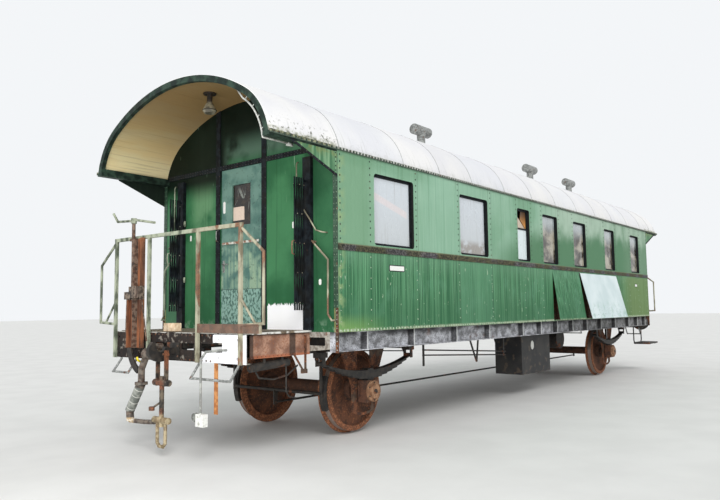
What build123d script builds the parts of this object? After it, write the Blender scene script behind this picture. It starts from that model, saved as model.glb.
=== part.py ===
"""Two-axle open-platform passenger coach, with one buffer-less end and folded lattice gates.

X runs along the coach, +Z up, in millimetres. The origin is on the track's centre line, midway
between the two axles, at the lowest point of the wheel flanges. The near platform, which carries
the hand brake, is at -X, and the front side is at -Y.
"""

from build123d import *
import os
from math import acos, asin, atan2, cos, degrees, sqrt

os.makedirs("parts", exist_ok=True)

# Heights are written above the rail's top and raised by the flange's depth
flange_depth = 30


def above_rail(height):
    return flange_depth + height


# Overall sizes
wheelbase = 8500
body_width = 3100
body_near_x = -5385
body_far_x = 5475
headstock_x = 6310
hood_x = 6366

# Wheels and axles
tread_radius = 500
flange_radius = tread_radius + flange_depth
gauge_face = 680
rim_width = 135
journal_radius = 60
journal_end = 1080
running_gap = 0.3
axle_z = flange_radius

# Underframe
sill_top = above_rail(1245)
sill_depth = 240
sill_y = 960
sill_flange = 85
sill_web = 12
outer_sill_depth = 210
outer_sill_inset = 50
outer_sill_flange = 75
outer_sill_web = 8
headstock_half = 1160
headstock_depth = sill_depth + 60
headstock_flange = 80
headstock_web = 15
plate = 12
seat_gap = 0.3
moving_gap = 5

# Body
wall = 60
sheet = 4
waist_bottom = above_rail(2110)
waist_height = 75
window_bottom = above_rail(2200)
window_top = above_rail(3020)
eaves_z = above_rail(3200)
floor_thickness = 35
end_wall_thickness = 55
door_width = 740
door_sill = above_rail(1300)
door_head = above_rail(3220)
leaf_thickness = 45

# Roof arch: one crown arc that runs into a smaller arc over each side
crown_radius = 2250
arch_side_radius = 750
arch_side_y = body_width / 2 - arch_side_radius
arch_side_z = above_rail(3064)
roof_skin_thickness = 6
roof_board_thickness = 24

half_width = body_width / 2
arch_rise = sqrt((crown_radius - arch_side_radius) ** 2 - arch_side_y**2)
arch_tangent = degrees(atan2(arch_rise, arch_side_y))
roof_top = arch_side_z + crown_radius - arch_rise
body_length = body_far_x - body_near_x
body_centre_x = (body_near_x + body_far_x) / 2
inner_half = half_width - wall
sill_bottom = sill_top - sill_depth
outer_sill_y = half_width - outer_sill_inset
outer_web_y = outer_sill_y - outer_sill_flange
floor_top = sill_top + floor_thickness
axle_stations = (-wheelbase / 2, wheelbase / 2)

# Each end: name, direction along X, outer face of its end wall
ends = (("near", -1, body_near_x), ("far", 1, body_far_x))

# Each side: name, direction along Y
sides = (("front", -1), ("back", 1))

# Windows of one side: centre along X, width
windows = (
    (-4363, 786),
    (-2484, 784),
    (-928, 433),
    (92, 609),
    (1412, 605),
    (3000, 580),
    (4606, 576),
)
narrow_window = windows[2]
window_corner = 40
window_height = window_top - window_bottom
window_z = (window_bottom + window_top) / 2

# Body pillars and sill ribs along X
rib_stations = (
    -4833, -3923, -2926, -2021, -941, -271, 383, 1068, 1753, 2500, 3311, 4180, 4768, 5334,
)


def keep(builder, name):
    """Labels a finished piece and writes it."""
    builder.part.label = name
    export_step(builder.part, f"parts/{name}.step")


def block(corner, opposite, mode=Mode.ADD):
    """Adds or cuts a box between two opposite corners, given in any order."""
    size = [abs(b - a) for a, b in zip(corner, opposite)]
    middle = tuple((a + b) / 2 for a, b in zip(corner, opposite))
    with Locations(middle):
        Box(*size, mode=mode)


def pin_along_y(middle, radius, length, mode=Mode.ADD):
    """Adds or cuts a cylinder that lies across the coach."""
    with Locations(Location(middle, (90, 0, 0))):
        Cylinder(radius, length, mode=mode)


def pin_along_x(middle, radius, length):
    """Adds a cylinder that lies along the coach."""
    with Locations(Location(middle, (0, 90, 0))):
        Cylinder(radius, length)


def round_bar(points, diameter):
    """Adds a round bar along the points, mitred at its corners."""
    with BuildLine() as path:
        Polyline(*points)
    run = path.line
    with BuildSketch(Plane(origin=run @ 0, z_dir=run % 0)) as section:
        Circle(diameter / 2)
    sweep(section.sketch, path=run, transition=Transition.RIGHT)


def flat_bar(start, end, width, thickness, across):
    """Adds a straight flat bar; its width lies along the direction `across`."""
    with BuildLine() as path:
        Line(start, end)
    run = path.line
    with BuildSketch(Plane(origin=run @ 0, x_dir=across, z_dir=run % 0)) as section:
        Rectangle(width, thickness)
    sweep(section.sketch, path=run)


def arch_arcs(inset, foot):
    """Draws the roof's three arcs, `inset` inside its outer skin, from `foot` degrees up."""
    side_radius = arch_side_radius - inset
    turn = arch_tangent - foot
    right = CenterArc((arch_side_y, arch_side_z), side_radius, foot, turn)
    CenterArc((0, arch_side_z - arch_rise), crown_radius - inset, arch_tangent, 180 - 2 * arch_tangent)
    left = CenterArc((-arch_side_y, arch_side_z), side_radius, 180 - arch_tangent, turn)
    return right, left


def arch_face(inset, bottom, mode=Mode.ADD):
    """Fills the roof's arch down to the height `bottom` in the sketch being drawn."""
    foot = degrees(asin((bottom - arch_side_z) / (arch_side_radius - inset)))
    with BuildLine() as outline:
        right, left = arch_arcs(inset, foot)
        Line(left @ 1, right @ 0)
    make_face(outline.edges(), mode=mode)


def end_face(inset, bottom, mode=Mode.ADD):
    """Fills the body's cross section between the side walls, under the arch."""
    foot = degrees(acos((inner_half - arch_side_y) / (arch_side_radius - inset)))
    with BuildLine() as outline:
        right, left = arch_arcs(inset, foot)
        Polyline(left @ 1, (-inner_half, bottom), (inner_half, bottom), right @ 0)
    make_face(outline.edges(), mode=mode)


# Main sills: two channels, open outward, between the headstocks
main_sill_end = headstock_x - headstock_web

with BuildPart() as main_sills:
    with BuildSketch(Plane.YZ):
        with Locations((sill_y + sill_flange / 2, sill_top - sill_depth / 2)):
            Rectangle(sill_flange, sill_depth)
        with Locations((sill_y + sill_web + sill_flange / 2, sill_top - sill_depth / 2)):
            Rectangle(sill_flange, sill_depth - 2 * sill_web, mode=Mode.SUBTRACT)
        mirror(about=Plane.YZ)
    extrude(amount=main_sill_end, both=True)
keep(main_sills, "main_sills")

# Draw-gear sills: a pair of plates that guide the draw bar
draw_sill_y = 150
draw_sill_depth = 150

with BuildPart() as draw_gear_sills:
    with BuildSketch(Plane.YZ):
        with Locations((draw_sill_y, sill_top - draw_sill_depth / 2)):
            Rectangle(plate, draw_sill_depth)
        mirror(about=Plane.YZ)
    extrude(amount=main_sill_end, both=True)
keep(draw_gear_sills, "draw_gear_sills")

# Cross bearers run between the sills and are cut where the draw-gear sills pass
bearer_from_axle = 950
middle_bearer_x = 1100
bearer_web = 16
bearer_stations = (
    body_near_x,
    axle_stations[0] + bearer_from_axle,
    -middle_bearer_x,
    middle_bearer_x,
    axle_stations[1] - bearer_from_axle,
    body_far_x,
)
bearer_spans = (
    (-sill_y, -draw_sill_y - plate / 2),
    (-draw_sill_y + plate / 2, draw_sill_y - plate / 2),
    (draw_sill_y + plate / 2, sill_y),
)

with BuildPart() as cross_bearers:
    for station in bearer_stations:
        for low_y, high_y in bearer_spans:
            block(
                (station - bearer_web / 2, low_y, sill_top - draw_sill_depth),
                (station + bearer_web / 2, high_y, sill_top),
            )
keep(cross_bearers, "cross_bearers")

# Outer sills: channels open outward, stiffened by a thin rib at each pillar
outer_sill_plate = 10
rib_thickness = 10
rib_inset = 4
rib_end_gap = 5
outrigger_stations = rib_stations + (body_near_x + rib_thickness / 2, body_far_x - rib_thickness / 2)

with BuildPart() as outer_sills:
    with BuildSketch(Plane.YZ.offset(body_near_x)):
        with Locations((outer_sill_y - outer_sill_flange / 2, sill_top - outer_sill_depth / 2)):
            Rectangle(outer_sill_flange, outer_sill_depth)
        cut_y = outer_sill_y - outer_sill_flange / 2 + outer_sill_web
        with Locations((cut_y, sill_top - outer_sill_depth / 2)):
            Rectangle(outer_sill_flange, outer_sill_depth - 2 * outer_sill_plate, mode=Mode.SUBTRACT)
        mirror(about=Plane.YZ)
    extrude(amount=body_length)
    rib_foot = sill_top - outer_sill_depth + rib_end_gap
    rib_head = sill_top - rib_end_gap
    for station in outrigger_stations:
        for side in (-1, 1):
            block(
                (station - rib_thickness / 2, side * outer_web_y, rib_foot),
                (station + rib_thickness / 2, side * (outer_sill_y - rib_inset), rib_head),
            )
keep(outer_sills, "outer_sills")

# Outriggers: tapered plates from main to outer sill, the end ones with a lightening hole
outrigger_web = 10
outrigger_depth = 215
outrigger_tip_depth = 180
corner_hole_width = 240
corner_hole_height = 87
corner_hole_z = above_rail(1144)
outrigger_root = sill_y + sill_flange
end_outriggers = outrigger_stations[-2:]

with BuildPart() as outriggers:
    for station in outrigger_stations:
        with BuildSketch(Plane.YZ.offset(station)):
            with BuildLine():
                Polyline(
                    (outrigger_root, sill_top),
                    (outer_web_y, sill_top),
                    (outer_web_y, sill_top - outrigger_tip_depth),
                    (outrigger_root, sill_top - outrigger_depth),
                    close=True,
                )
            make_face()
            if station in end_outriggers:
                with Locations(((outrigger_root + outer_web_y) / 2, corner_hole_z)):
                    Rectangle(corner_hole_width, corner_hole_height, mode=Mode.SUBTRACT)
            mirror(about=Plane.YZ)
        extrude(amount=outrigger_web / 2, both=True)
keep(outriggers, "outriggers")

# Headstocks: channels across each end, open inward, drilled for buffers and slotted for the hook
headstock_top = sill_top + plate
headstock_bottom = headstock_top - headstock_depth
headstock_plate = 12
flange_setback = 10
buffer_y = 903.5
buffer_z = above_rail(1101.5)
buffer_bolts_y = 287
buffer_bolts_z = 184
buffer_bolt_radius = 13
hook_z = above_rail(1060)
hook_slot_width = 56
hook_slot_height = 110
slot_z = above_rail(1112)
slot_height = 70

# Long slots beside the hook: centre along Y, width
headstock_slots = ((230, 220), (640, 360))

with BuildPart() as headstocks:
    for end, way, _ in ends:
        face_x = way * headstock_x
        block(
            (face_x, -headstock_half, headstock_bottom),
            (way * (headstock_x - headstock_flange), headstock_half, headstock_top),
        )
        block(
            (way * (headstock_x - headstock_web), -headstock_half, headstock_bottom + headstock_plate),
            (
                way * (headstock_x - headstock_flange - flange_setback),
                headstock_half,
                headstock_top - headstock_plate,
            ),
            mode=Mode.SUBTRACT,
        )
        with BuildSketch(Plane.YZ.offset(face_x)):
            for side in (-1, 1):
                with Locations((side * buffer_y, buffer_z)):
                    with GridLocations(buffer_bolts_y, buffer_bolts_z, 2, 2):
                        Circle(buffer_bolt_radius)
                for slot_y, slot_width in headstock_slots:
                    with Locations((side * slot_y, slot_z)):
                        Rectangle(slot_width, slot_height)
            with Locations((0, hook_z)):
                Rectangle(hook_slot_width, hook_slot_height)
        extrude(amount=2 * headstock_web, both=True, mode=Mode.SUBTRACT)
keep(headstocks, "headstocks")

# Bare pads where the near buffers are missing, cut by the outer slots
pad_width = 503
pad_height = 280
pad_thickness = 15

with BuildPart() as buffer_pads:
    with BuildSketch(Plane.YZ.offset(-headstock_x - pad_thickness)):
        for side in (-1, 1):
            with Locations((side * buffer_y, buffer_z)):
                Rectangle(pad_width, pad_height)
                with GridLocations(buffer_bolts_y, buffer_bolts_z, 2, 2):
                    Circle(buffer_bolt_radius, mode=Mode.SUBTRACT)
            slot_y, slot_width = headstock_slots[-1]
            with Locations((side * slot_y, slot_z)):
                Rectangle(slot_width, slot_height, mode=Mode.SUBTRACT)
    extrude(amount=pad_thickness)
keep(buffer_pads, "buffer_pads_near")

# Far buffers: base plate, housing, plunger and round head
buffer_reach = 650
buffer_head_radius = 225
buffer_head_edge = 18
buffer_neck = 60
plunger_radius = 78
housing_radius = 105
housing_end = 370
base_thickness = 20
base_margin = 70

with BuildPart() as buffers:
    for side in (-1, 1):
        with BuildSketch(Plane.YZ.offset(headstock_x)):
            with Locations((side * buffer_y, buffer_z)):
                Rectangle(buffer_bolts_y + base_margin, buffer_bolts_z + base_margin)
                with GridLocations(buffer_bolts_y, buffer_bolts_z, 2, 2):
                    Circle(buffer_bolt_radius, mode=Mode.SUBTRACT)
        extrude(amount=base_thickness)
        axis_line = Plane(
            origin=(headstock_x, side * buffer_y, buffer_z), x_dir=(1, 0, 0), z_dir=(0, -1, 0)
        )
        with BuildSketch(axis_line):
            with BuildLine():
                Polyline(
                    (base_thickness, 0),
                    (buffer_reach, 0),
                    (buffer_reach, buffer_head_radius),
                    (buffer_reach - buffer_head_edge, buffer_head_radius),
                    (buffer_reach - buffer_neck, plunger_radius),
                    (housing_end, plunger_radius),
                    (housing_end, housing_radius),
                    (base_thickness, housing_radius),
                    close=True,
                )
            make_face()
        revolve(axis=Axis((headstock_x, side * buffer_y, buffer_z), (1, 0, 0)))
keep(buffers, "buffers_far")

# Draw hooks: shank through the headstock, guide plate and open forged hook
hook_thickness = 50
hook_pin_x = 147
hook_pin_drop = 30
coupling_pin_radius = 19
guide_half_width = 110
guide_half_height = 90
guide_thickness = 14

# Outline in side view: X out from the headstock, Y up from the hook's centre line
shank_top = ((-150, 32), (70, 36), (125, 52))
hook_throat = ((125, 52), (180, -2), (232, 30))
hook_tip = ((248, 92), (268, 108), (290, 92))
hook_back = ((290, 92), (326, 5), (276, -72))
hook_belly = ((276, -72), (190, -104), (100, -80))
shank_bottom = ((100, -80), (55, -36), (-150, -32))

with BuildPart() as draw_hooks:
    for end, way, _ in ends:
        side_view = Plane(origin=(way * headstock_x, 0, hook_z), x_dir=(way, 0, 0), z_dir=(0, -way, 0))
        with BuildSketch(side_view):
            with BuildLine():
                Polyline(*shank_top)
                ThreePointArc(*hook_throat)
                Line(hook_throat[-1], hook_tip[0])
                ThreePointArc(*hook_tip)
                ThreePointArc(*hook_back)
                ThreePointArc(*hook_belly)
                Polyline(*shank_bottom)
                Line(shank_bottom[-1], shank_top[0])
            make_face()
            with Locations((hook_pin_x, -hook_pin_drop)):
                Circle(coupling_pin_radius + seat_gap, mode=Mode.SUBTRACT)
        extrude(amount=hook_thickness / 2, both=True)
        block(
            (way * headstock_x, -guide_half_width, hook_z - guide_half_height),
            (way * (headstock_x + guide_thickness), guide_half_width, hook_z + guide_half_height),
        )
keep(draw_hooks, "draw_hooks")

# Screw couplings hang from the hook's eye: links, trunnion nuts, screw, tommy bar and end shackle
coupling_nut_z = above_rail(735)
coupling_low_nut_z = above_rail(345)
coupling_foot_z = above_rail(75)
coupling_half = 130
link_y = 75
link_width = 46
link_thickness = 18
nut_radius = 34
screw_diameter = 50
shackle_y = 70
shackle_diameter = 36
shackle_corner = 36
tommy_reach = 120
tommy_drop = 60
tommy_diameter = 20
tommy_weight_radius = 30

with BuildPart() as screw_couplings:
    for end, way, _ in ends:
        coupling_x = way * (headstock_x + hook_pin_x)
        pin_z = hook_z - hook_pin_drop
        pin_along_y((coupling_x, 0, pin_z), coupling_pin_radius, 2 * link_y + 3 * link_thickness)
        for side in (-1, 1):
            flat_bar(
                (coupling_x, side * link_y, pin_z + link_width),
                (coupling_x, side * link_y, coupling_nut_z - nut_radius),
                link_width, link_thickness, (1, 0, 0),
            )
        for nut_z in (coupling_nut_z, coupling_low_nut_z):
            pin_along_y((coupling_x, 0, nut_z), nut_radius, 2 * coupling_half)
        round_bar(
            (
                (coupling_x, 0, coupling_nut_z + 2 * nut_radius),
                (coupling_x, 0, coupling_low_nut_z - 2 * nut_radius),
            ),
            screw_diameter,
        )
        round_bar(
            (
                (coupling_x, -shackle_y, coupling_low_nut_z),
                (coupling_x, -shackle_y, coupling_foot_z + shackle_corner),
                (coupling_x, -shackle_y + shackle_corner, coupling_foot_z),
                (coupling_x, shackle_y - shackle_corner, coupling_foot_z),
                (coupling_x, shackle_y, coupling_foot_z + shackle_corner),
                (coupling_x, shackle_y, coupling_low_nut_z),
            ),
            shackle_diameter,
        )
        screw_middle = (coupling_nut_z + coupling_low_nut_z) / 2
        tommy_end = (coupling_x + way * tommy_reach, 0, screw_middle - tommy_drop)
        round_bar(((coupling_x, 0, screw_middle), tommy_end), tommy_diameter)
        with Locations(tommy_end):
            Cylinder(tommy_weight_radius, 2 * tommy_diameter)
keep(screw_couplings, "screw_couplings")

# Floors: platform decks and the cabin floor
deck_thickness = 20
deck_end = headstock_x - headstock_flange
deck_top = sill_top + deck_thickness

with BuildPart() as platform_decks:
    for end, way, wall_x in ends:
        block((way * deck_end, -headstock_half, sill_top), (wall_x, headstock_half, deck_top))
keep(platform_decks, "platform_decks")

with BuildPart() as cabin_floor:
    block(
        (body_near_x + end_wall_thickness, -inner_half, sill_top),
        (body_far_x - end_wall_thickness, inner_half, floor_top),
    )
keep(cabin_floor, "cabin_floor")

# Side walls, with the lower outer sheet missing behind the two loose ones on the front
missing_sheet = (120, 3313)
recess_depth = 40
recess_top = waist_bottom - 20
recess_foot = sill_top + 20
pillar_half = 30
pillar_setback = 8

for side_name, side in sides:
    with BuildPart() as side_wall:
        with BuildSketch(Plane.XZ.offset(-side * (half_width - wall / 2))):
            with Locations((body_centre_x, (sill_top + eaves_z) / 2)):
                Rectangle(body_length, eaves_z - sill_top)
            for centre, width in windows:
                with Locations((centre, window_z)):
                    RectangleRounded(width, window_height, window_corner, mode=Mode.SUBTRACT)
        extrude(amount=wall / 2, both=True)
        if side < 0:
            block(
                (missing_sheet[0], -half_width, recess_foot),
                (missing_sheet[1], -half_width + recess_depth, recess_top),
                mode=Mode.SUBTRACT,
            )
            for station in rib_stations:
                if missing_sheet[0] < station < missing_sheet[1]:
                    block(
                        (station - pillar_half, -half_width + pillar_setback, recess_foot),
                        (station + pillar_half, -half_width + recess_depth, recess_top),
                    )
    keep(side_wall, f"side_wall_{side_name}")

# Waist strips stand proud of the side walls below the windows
strip_proud = 8

with BuildPart() as waist_strips:
    for side in (-1, 1):
        block(
            (body_near_x, side * half_width, waist_bottom),
            (body_far_x, side * (half_width + strip_proud), waist_bottom + waist_height),
        )
keep(waist_strips, "waist_strips")

# Loose lower sheets, swung out from the waist: name, start, end, how far the foot leans out
loose_sheets = (
    ("loose_sheet_green", 122, 1300, 110),
    ("loose_sheet_primed", 1355, 3311, 205),
)
sheet_foot = sill_top + 15
sheet_head = recess_top - seat_gap

for name, start_x, end_x, lean in loose_sheets:
    with BuildPart() as loose_sheet:
        with BuildSketch(Plane.YZ.offset(start_x)):
            with BuildLine():
                Polyline(
                    (-half_width + sheet, sheet_head),
                    (-half_width, sheet_head),
                    (-half_width - lean, sheet_foot),
                    (-half_width - lean + sheet, sheet_foot),
                    close=True,
                )
            make_face()
        extrude(amount=end_x - start_x)
    keep(loose_sheet, name)

# Window frames and panes: the narrow window has a sash bar, and its upper half stands open
frame_border = 30
frame_thickness = 24
frame_setback = 36
pane_thickness = 6
sash_bar_share = 0.62
sash_bar_height = 26
frame_y = half_width - frame_setback - frame_thickness / 2
pane_bottom = window_bottom + frame_border
pane_top = window_top - frame_border
sash_bar_z = window_bottom + window_height * sash_bar_share

with BuildPart() as window_frames:
    for _, side in sides:
        with BuildSketch(Plane.XZ.offset(-side * frame_y)):
            for centre, width in windows:
                with Locations((centre, window_z)):
                    RectangleRounded(width, window_height, window_corner)
                    Rectangle(
                        width - 2 * frame_border, window_height - 2 * frame_border,
                        mode=Mode.SUBTRACT,
                    )
            centre, width = narrow_window
            with Locations((centre, sash_bar_z)):
                Rectangle(width - 2 * frame_border, sash_bar_height)
        extrude(amount=frame_thickness / 2, both=True)
keep(window_frames, "window_frames")

with BuildPart() as window_panes:
    for _, side in sides:
        with BuildSketch(Plane.XZ.offset(-side * frame_y)):
            for window in windows:
                centre, width = window
                glass_top = sash_bar_z - sash_bar_height / 2 if window == narrow_window else pane_top
                with Locations((centre, (pane_bottom + glass_top) / 2)):
                    Rectangle(width - 2 * frame_border, glass_top - pane_bottom)
        extrude(amount=pane_thickness / 2, both=True)
keep(window_panes, "window_panes")

# End walls under the arch, each with its doorway and three hinge seats with upright pins
wall_arch_inset = roof_skin_thickness + seat_gap + roof_board_thickness + seat_gap
hinge_heights = (above_rail(1600), above_rail(2250), above_rail(2900))
hinge_seat_length = 60
hinge_pin_radius = 8
hinge_pin_length = 50
knuckle_radius = 14
hinge_leaf = 10
hinge_web = 4
hinge_clearance = 0.5
hinge_side_gap = 1
door_half = door_width / 2


def hinge_place(way, wall_x):
    """Gives the inner face of the end wall and the hinge line's place along X and Y."""
    inner_x = wall_x - way * end_wall_thickness
    return inner_x, inner_x - way * (knuckle_radius + hinge_clearance), way * (door_half - moving_gap)


for end, way, wall_x in ends:
    inner_x, pivot_x, pivot_y = hinge_place(way, wall_x)
    with BuildPart() as end_wall:
        with BuildSketch(Plane.YZ.offset((wall_x + inner_x) / 2)):
            end_face(wall_arch_inset, sill_top)
            with Locations((0, (door_sill + door_head) / 2)):
                Rectangle(door_width, door_head - door_sill, mode=Mode.SUBTRACT)
        extrude(amount=end_wall_thickness / 2, both=True)
        for height in hinge_heights:
            foot = height - hinge_seat_length
            block(
                (inner_x, way * (door_half + hinge_side_gap), foot),
                (inner_x - way * hinge_leaf, way * (door_half + hinge_seat_length), height),
            )
            block(
                (inner_x - way * hinge_web, pivot_y, foot),
                (inner_x - way * knuckle_radius, way * (door_half + hinge_leaf), height),
            )
            with Locations((pivot_x, pivot_y, height - hinge_seat_length / 2)):
                Cylinder(knuckle_radius, hinge_seat_length)
            with Locations((pivot_x, pivot_y, height + hinge_pin_length / 2)):
                Cylinder(hinge_pin_radius, hinge_pin_length)
    keep(end_wall, f"end_wall_{end}")

# End doors: sheeted leaf with a window, a kick sheet, a bar across it and knuckles on the pins
door_window_width = 330
door_window_bottom = above_rail(2510)
door_window_top = above_rail(3010)
door_pane_lap = 5
door_sheet = 3
kick_top = above_rail(1735)
kick_inset = 20
bar_z = above_rail(2300)
bar_half_length = 330
bar_height = 28
bar_standoff = 12
bar_thickness = 7
bar_foot = 40
hinge_tab = 8
hinge_tab_reach = 90

for end, way, wall_x in ends:
    inner_x, pivot_x, pivot_y = hinge_place(way, wall_x)
    outer_x = inner_x + way * leaf_thickness
    with BuildPart() as door:
        block(
            (inner_x, -door_half + moving_gap, door_sill + moving_gap),
            (outer_x, door_half - moving_gap, door_head - moving_gap),
        )
        block(
            (inner_x, -door_window_width / 2, door_window_bottom),
            (outer_x, door_window_width / 2, door_window_top),
            mode=Mode.SUBTRACT,
        )
        pane_x = (inner_x + outer_x) / 2
        block(
            (
                pane_x - pane_thickness / 2,
                -door_window_width / 2 - door_pane_lap,
                door_window_bottom - door_pane_lap,
            ),
            (
                pane_x + pane_thickness / 2,
                door_window_width / 2 + door_pane_lap,
                door_window_top + door_pane_lap,
            ),
        )
        kick_half = door_half - moving_gap - kick_inset
        block(
            (outer_x, -kick_half, door_sill + moving_gap + kick_inset),
            (outer_x + way * door_sheet, kick_half, kick_top),
        )
        bar_x = outer_x + way * bar_standoff
        block(
            (bar_x, -bar_half_length, bar_z - bar_height / 2),
            (bar_x + way * bar_thickness, bar_half_length, bar_z + bar_height / 2),
        )
        for side in (-1, 1):
            block(
                (outer_x, side * bar_half_length, bar_z - bar_height / 2),
                (bar_x, side * (bar_half_length - bar_foot), bar_z + bar_height / 2),
            )
        for height in hinge_heights:
            block(
                (inner_x, pivot_y, height + seat_gap),
                (inner_x - way * hinge_tab, way * (door_half - hinge_tab_reach), height + hinge_pin_length),
            )
            knuckle_length = hinge_pin_length - seat_gap
            with Locations((pivot_x, pivot_y, height + seat_gap + knuckle_length / 2)):
                Cylinder(knuckle_radius, knuckle_length)
            with Locations((pivot_x, pivot_y, height + hinge_pin_length / 2)):
                Cylinder(hinge_pin_radius + running_gap, hinge_seat_length, mode=Mode.SUBTRACT)
    keep(door, f"end_door_{end}")

# Door posts and header strip, proud of the end wall
eaves_beam_width = 95
eaves_beam_inset = 8
post_proud = 10
post_width = 80
post_gap = 5
header_z = above_rail(3245)
header_height = 60
header_half = half_width - eaves_beam_inset - eaves_beam_width - 2

with BuildPart() as door_frames:
    for end, way, wall_x in ends:
        with BuildSketch(Plane.YZ.offset(wall_x + way * post_proud / 2)):
            for side in (-1, 1):
                with Locations((side * (door_half + post_gap + post_width / 2), (sill_top + roof_top) / 2)):
                    Rectangle(post_width, roof_top - sill_top)
            with Locations((0, header_z)):
                Rectangle(2 * header_half, header_height)
            end_face(wall_arch_inset, deck_top, mode=Mode.INTERSECT)
        extrude(amount=post_proud / 2, both=True)
keep(door_frames, "door_frames")

# Corner straps: riveted plates down the ends of the side walls
corner_strap_width = 38
corner_strap_thickness = 8
corner_strap_z = (above_rail(1030), above_rail(1500))

with BuildPart() as corner_straps:
    for _, way, wall_x in ends:
        for side in (-1, 1):
            block(
                (wall_x, side * (half_width - corner_strap_width), corner_strap_z[0]),
                (wall_x + way * corner_strap_thickness, side * half_width, corner_strap_z[1]),
            )
keep(corner_straps, "corner_straps")

# Roof: outer skin, running out over both platforms
with BuildPart() as roof_skin:
    with BuildSketch(Plane.YZ):
        arch_face(0, eaves_z)
        arch_face(roof_skin_thickness, eaves_z, mode=Mode.SUBTRACT)
    extrude(amount=hood_x, both=True)
keep(roof_skin, "roof_skin")

# Ceiling boards run lengthways side by side, with a narrow joint between neighbours
hood_band_depth = 72
hood_band_width = 50
crown_boards = 10
side_boards = 3
side_board_angle = 15.5
board_joint = 1
crown_board_sweep = 2 * (90 - arch_tangent)
joint_length = 3 * roof_board_thickness

with BuildPart() as roof_boards:
    with BuildSketch(Plane.YZ):
        arch_face(roof_skin_thickness + seat_gap, eaves_z)
        arch_face(roof_skin_thickness + seat_gap + roof_board_thickness, eaves_z, mode=Mode.SUBTRACT)
        with Locations((0, arch_side_z - arch_rise)):
            with PolarLocations(
                crown_radius - roof_board_thickness / 2, crown_boards + 1, start_angle=arch_tangent,
                angular_range=crown_board_sweep, endpoint=True,
            ):
                Rectangle(joint_length, board_joint, mode=Mode.SUBTRACT)
        for number in range(1, side_boards):
            joint = arch_tangent - number * side_board_angle
            for centre_y, turn in ((arch_side_y, joint), (-arch_side_y, 180 - joint)):
                with Locations((centre_y, arch_side_z)):
                    with PolarLocations(arch_side_radius - roof_board_thickness / 2, 1, start_angle=turn):
                        Rectangle(joint_length, board_joint, mode=Mode.SUBTRACT)
    extrude(amount=hood_x - hood_band_width, both=True)
keep(roof_boards, "roof_boards")

# Hood trim: the arch bar at the roof's end and an eaves beam along each side of the platform
eaves_beam_drop = 40
eaves_beam_rise = 50
eaves_beam_lip = 28

with BuildPart() as hood_trims:
    for end, way, wall_x in ends:
        band_x = way * (hood_x - hood_band_width)
        with BuildSketch(Plane.YZ.offset(way * (hood_x - hood_band_width / 2))):
            arch_face(roof_skin_thickness + seat_gap, eaves_z)
            arch_face(hood_band_depth, eaves_z, mode=Mode.SUBTRACT)
        extrude(amount=hood_band_width / 2, both=True)
        for side in (-1, 1):
            beam_y = side * (half_width - eaves_beam_inset - eaves_beam_width)
            block(
                (wall_x, beam_y, eaves_z - eaves_beam_drop),
                (way * hood_x, side * (half_width - eaves_beam_inset), eaves_z),
            )
            block(
                (wall_x, beam_y, eaves_z),
                (band_x, beam_y + side * eaves_beam_lip, eaves_z + eaves_beam_rise),
            )
keep(hood_trims, "hood_trims")

# Rain strips along the eaves
strip_height = 34
strip_drop = 20
strip_width = 16

with BuildPart() as rain_strips:
    for side in (-1, 1):
        block(
            (-hood_x, side * half_width, eaves_z - strip_drop),
            (hood_x, side * (half_width + strip_width), eaves_z - strip_drop + strip_height),
        )
keep(rain_strips, "rain_strips")

# Gusset sheets brace the hood from the body's corners
gusset_reach = 689
gusset_tip_z = above_rail(3156)
gusset_foot_z = above_rail(2887)
gusset_y = half_width - 6

with BuildPart() as hood_gussets:
    for _, way, wall_x in ends:
        for side in (-1, 1):
            with BuildSketch(Plane.XZ.offset(-side * gusset_y)):
                with BuildLine():
                    Polyline(
                        (wall_x, eaves_z - eaves_beam_drop),
                        (wall_x + way * gusset_reach, eaves_z - eaves_beam_drop),
                        (wall_x + way * gusset_reach, gusset_tip_z),
                        (wall_x, gusset_foot_z),
                        close=True,
                    )
                make_face()
            extrude(amount=sheet / 2, both=True)
keep(hood_gussets, "hood_gussets")

# End railings: posts down over the headstock, a wing and brace at each side, one toe board
rail_face = {"near": headstock_x + pad_thickness, "far": headstock_x}
rail_thickness = 30
rail_width = 40
rail_top_z = above_rail(2330)
rail_foot_z = above_rail(955)
inner_post_y = 440
outer_post_y = 1110
rail_end_y = outer_post_y + 25
wing_y = 1440
wing_points = ((outer_post_y, 2310), (wing_y, 2045), (wing_y, 1360), (outer_post_y, 1340))
wing_diameter = 30
brace_points = ((outer_post_y, 1610), (1330, 1350))
brace_diameter = 24
toe_board = (above_rail(1262), above_rail(1352))
toe_board_thickness = 10

with BuildPart() as end_railings:
    for end, way, wall_x in ends:
        x = way * (rail_face[end] + rail_thickness / 2)
        for post_y in (-outer_post_y, -inner_post_y, inner_post_y, outer_post_y):
            foot = (x, post_y, rail_foot_z)
            flat_bar(foot, (x, post_y, rail_top_z), rail_width, rail_thickness, (0, 1, 0))
        rail_end = (x, rail_end_y, rail_top_z)
        flat_bar((x, -rail_end_y, rail_top_z), rail_end, rail_width, rail_thickness, (0, 0, 1))
        for side in (-1, 1):
            for points, diameter in ((wing_points, wing_diameter), (brace_points, brace_diameter)):
                round_bar([(x, side * y, above_rail(z)) for y, z in points], diameter)
        block(
            (x - toe_board_thickness / 2, way * inner_post_y, toe_board[0]),
            (x + toe_board_thickness / 2, way * (wing_y - wing_diameter), toe_board[1]),
        )
keep(end_railings, "end_railings")

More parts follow.
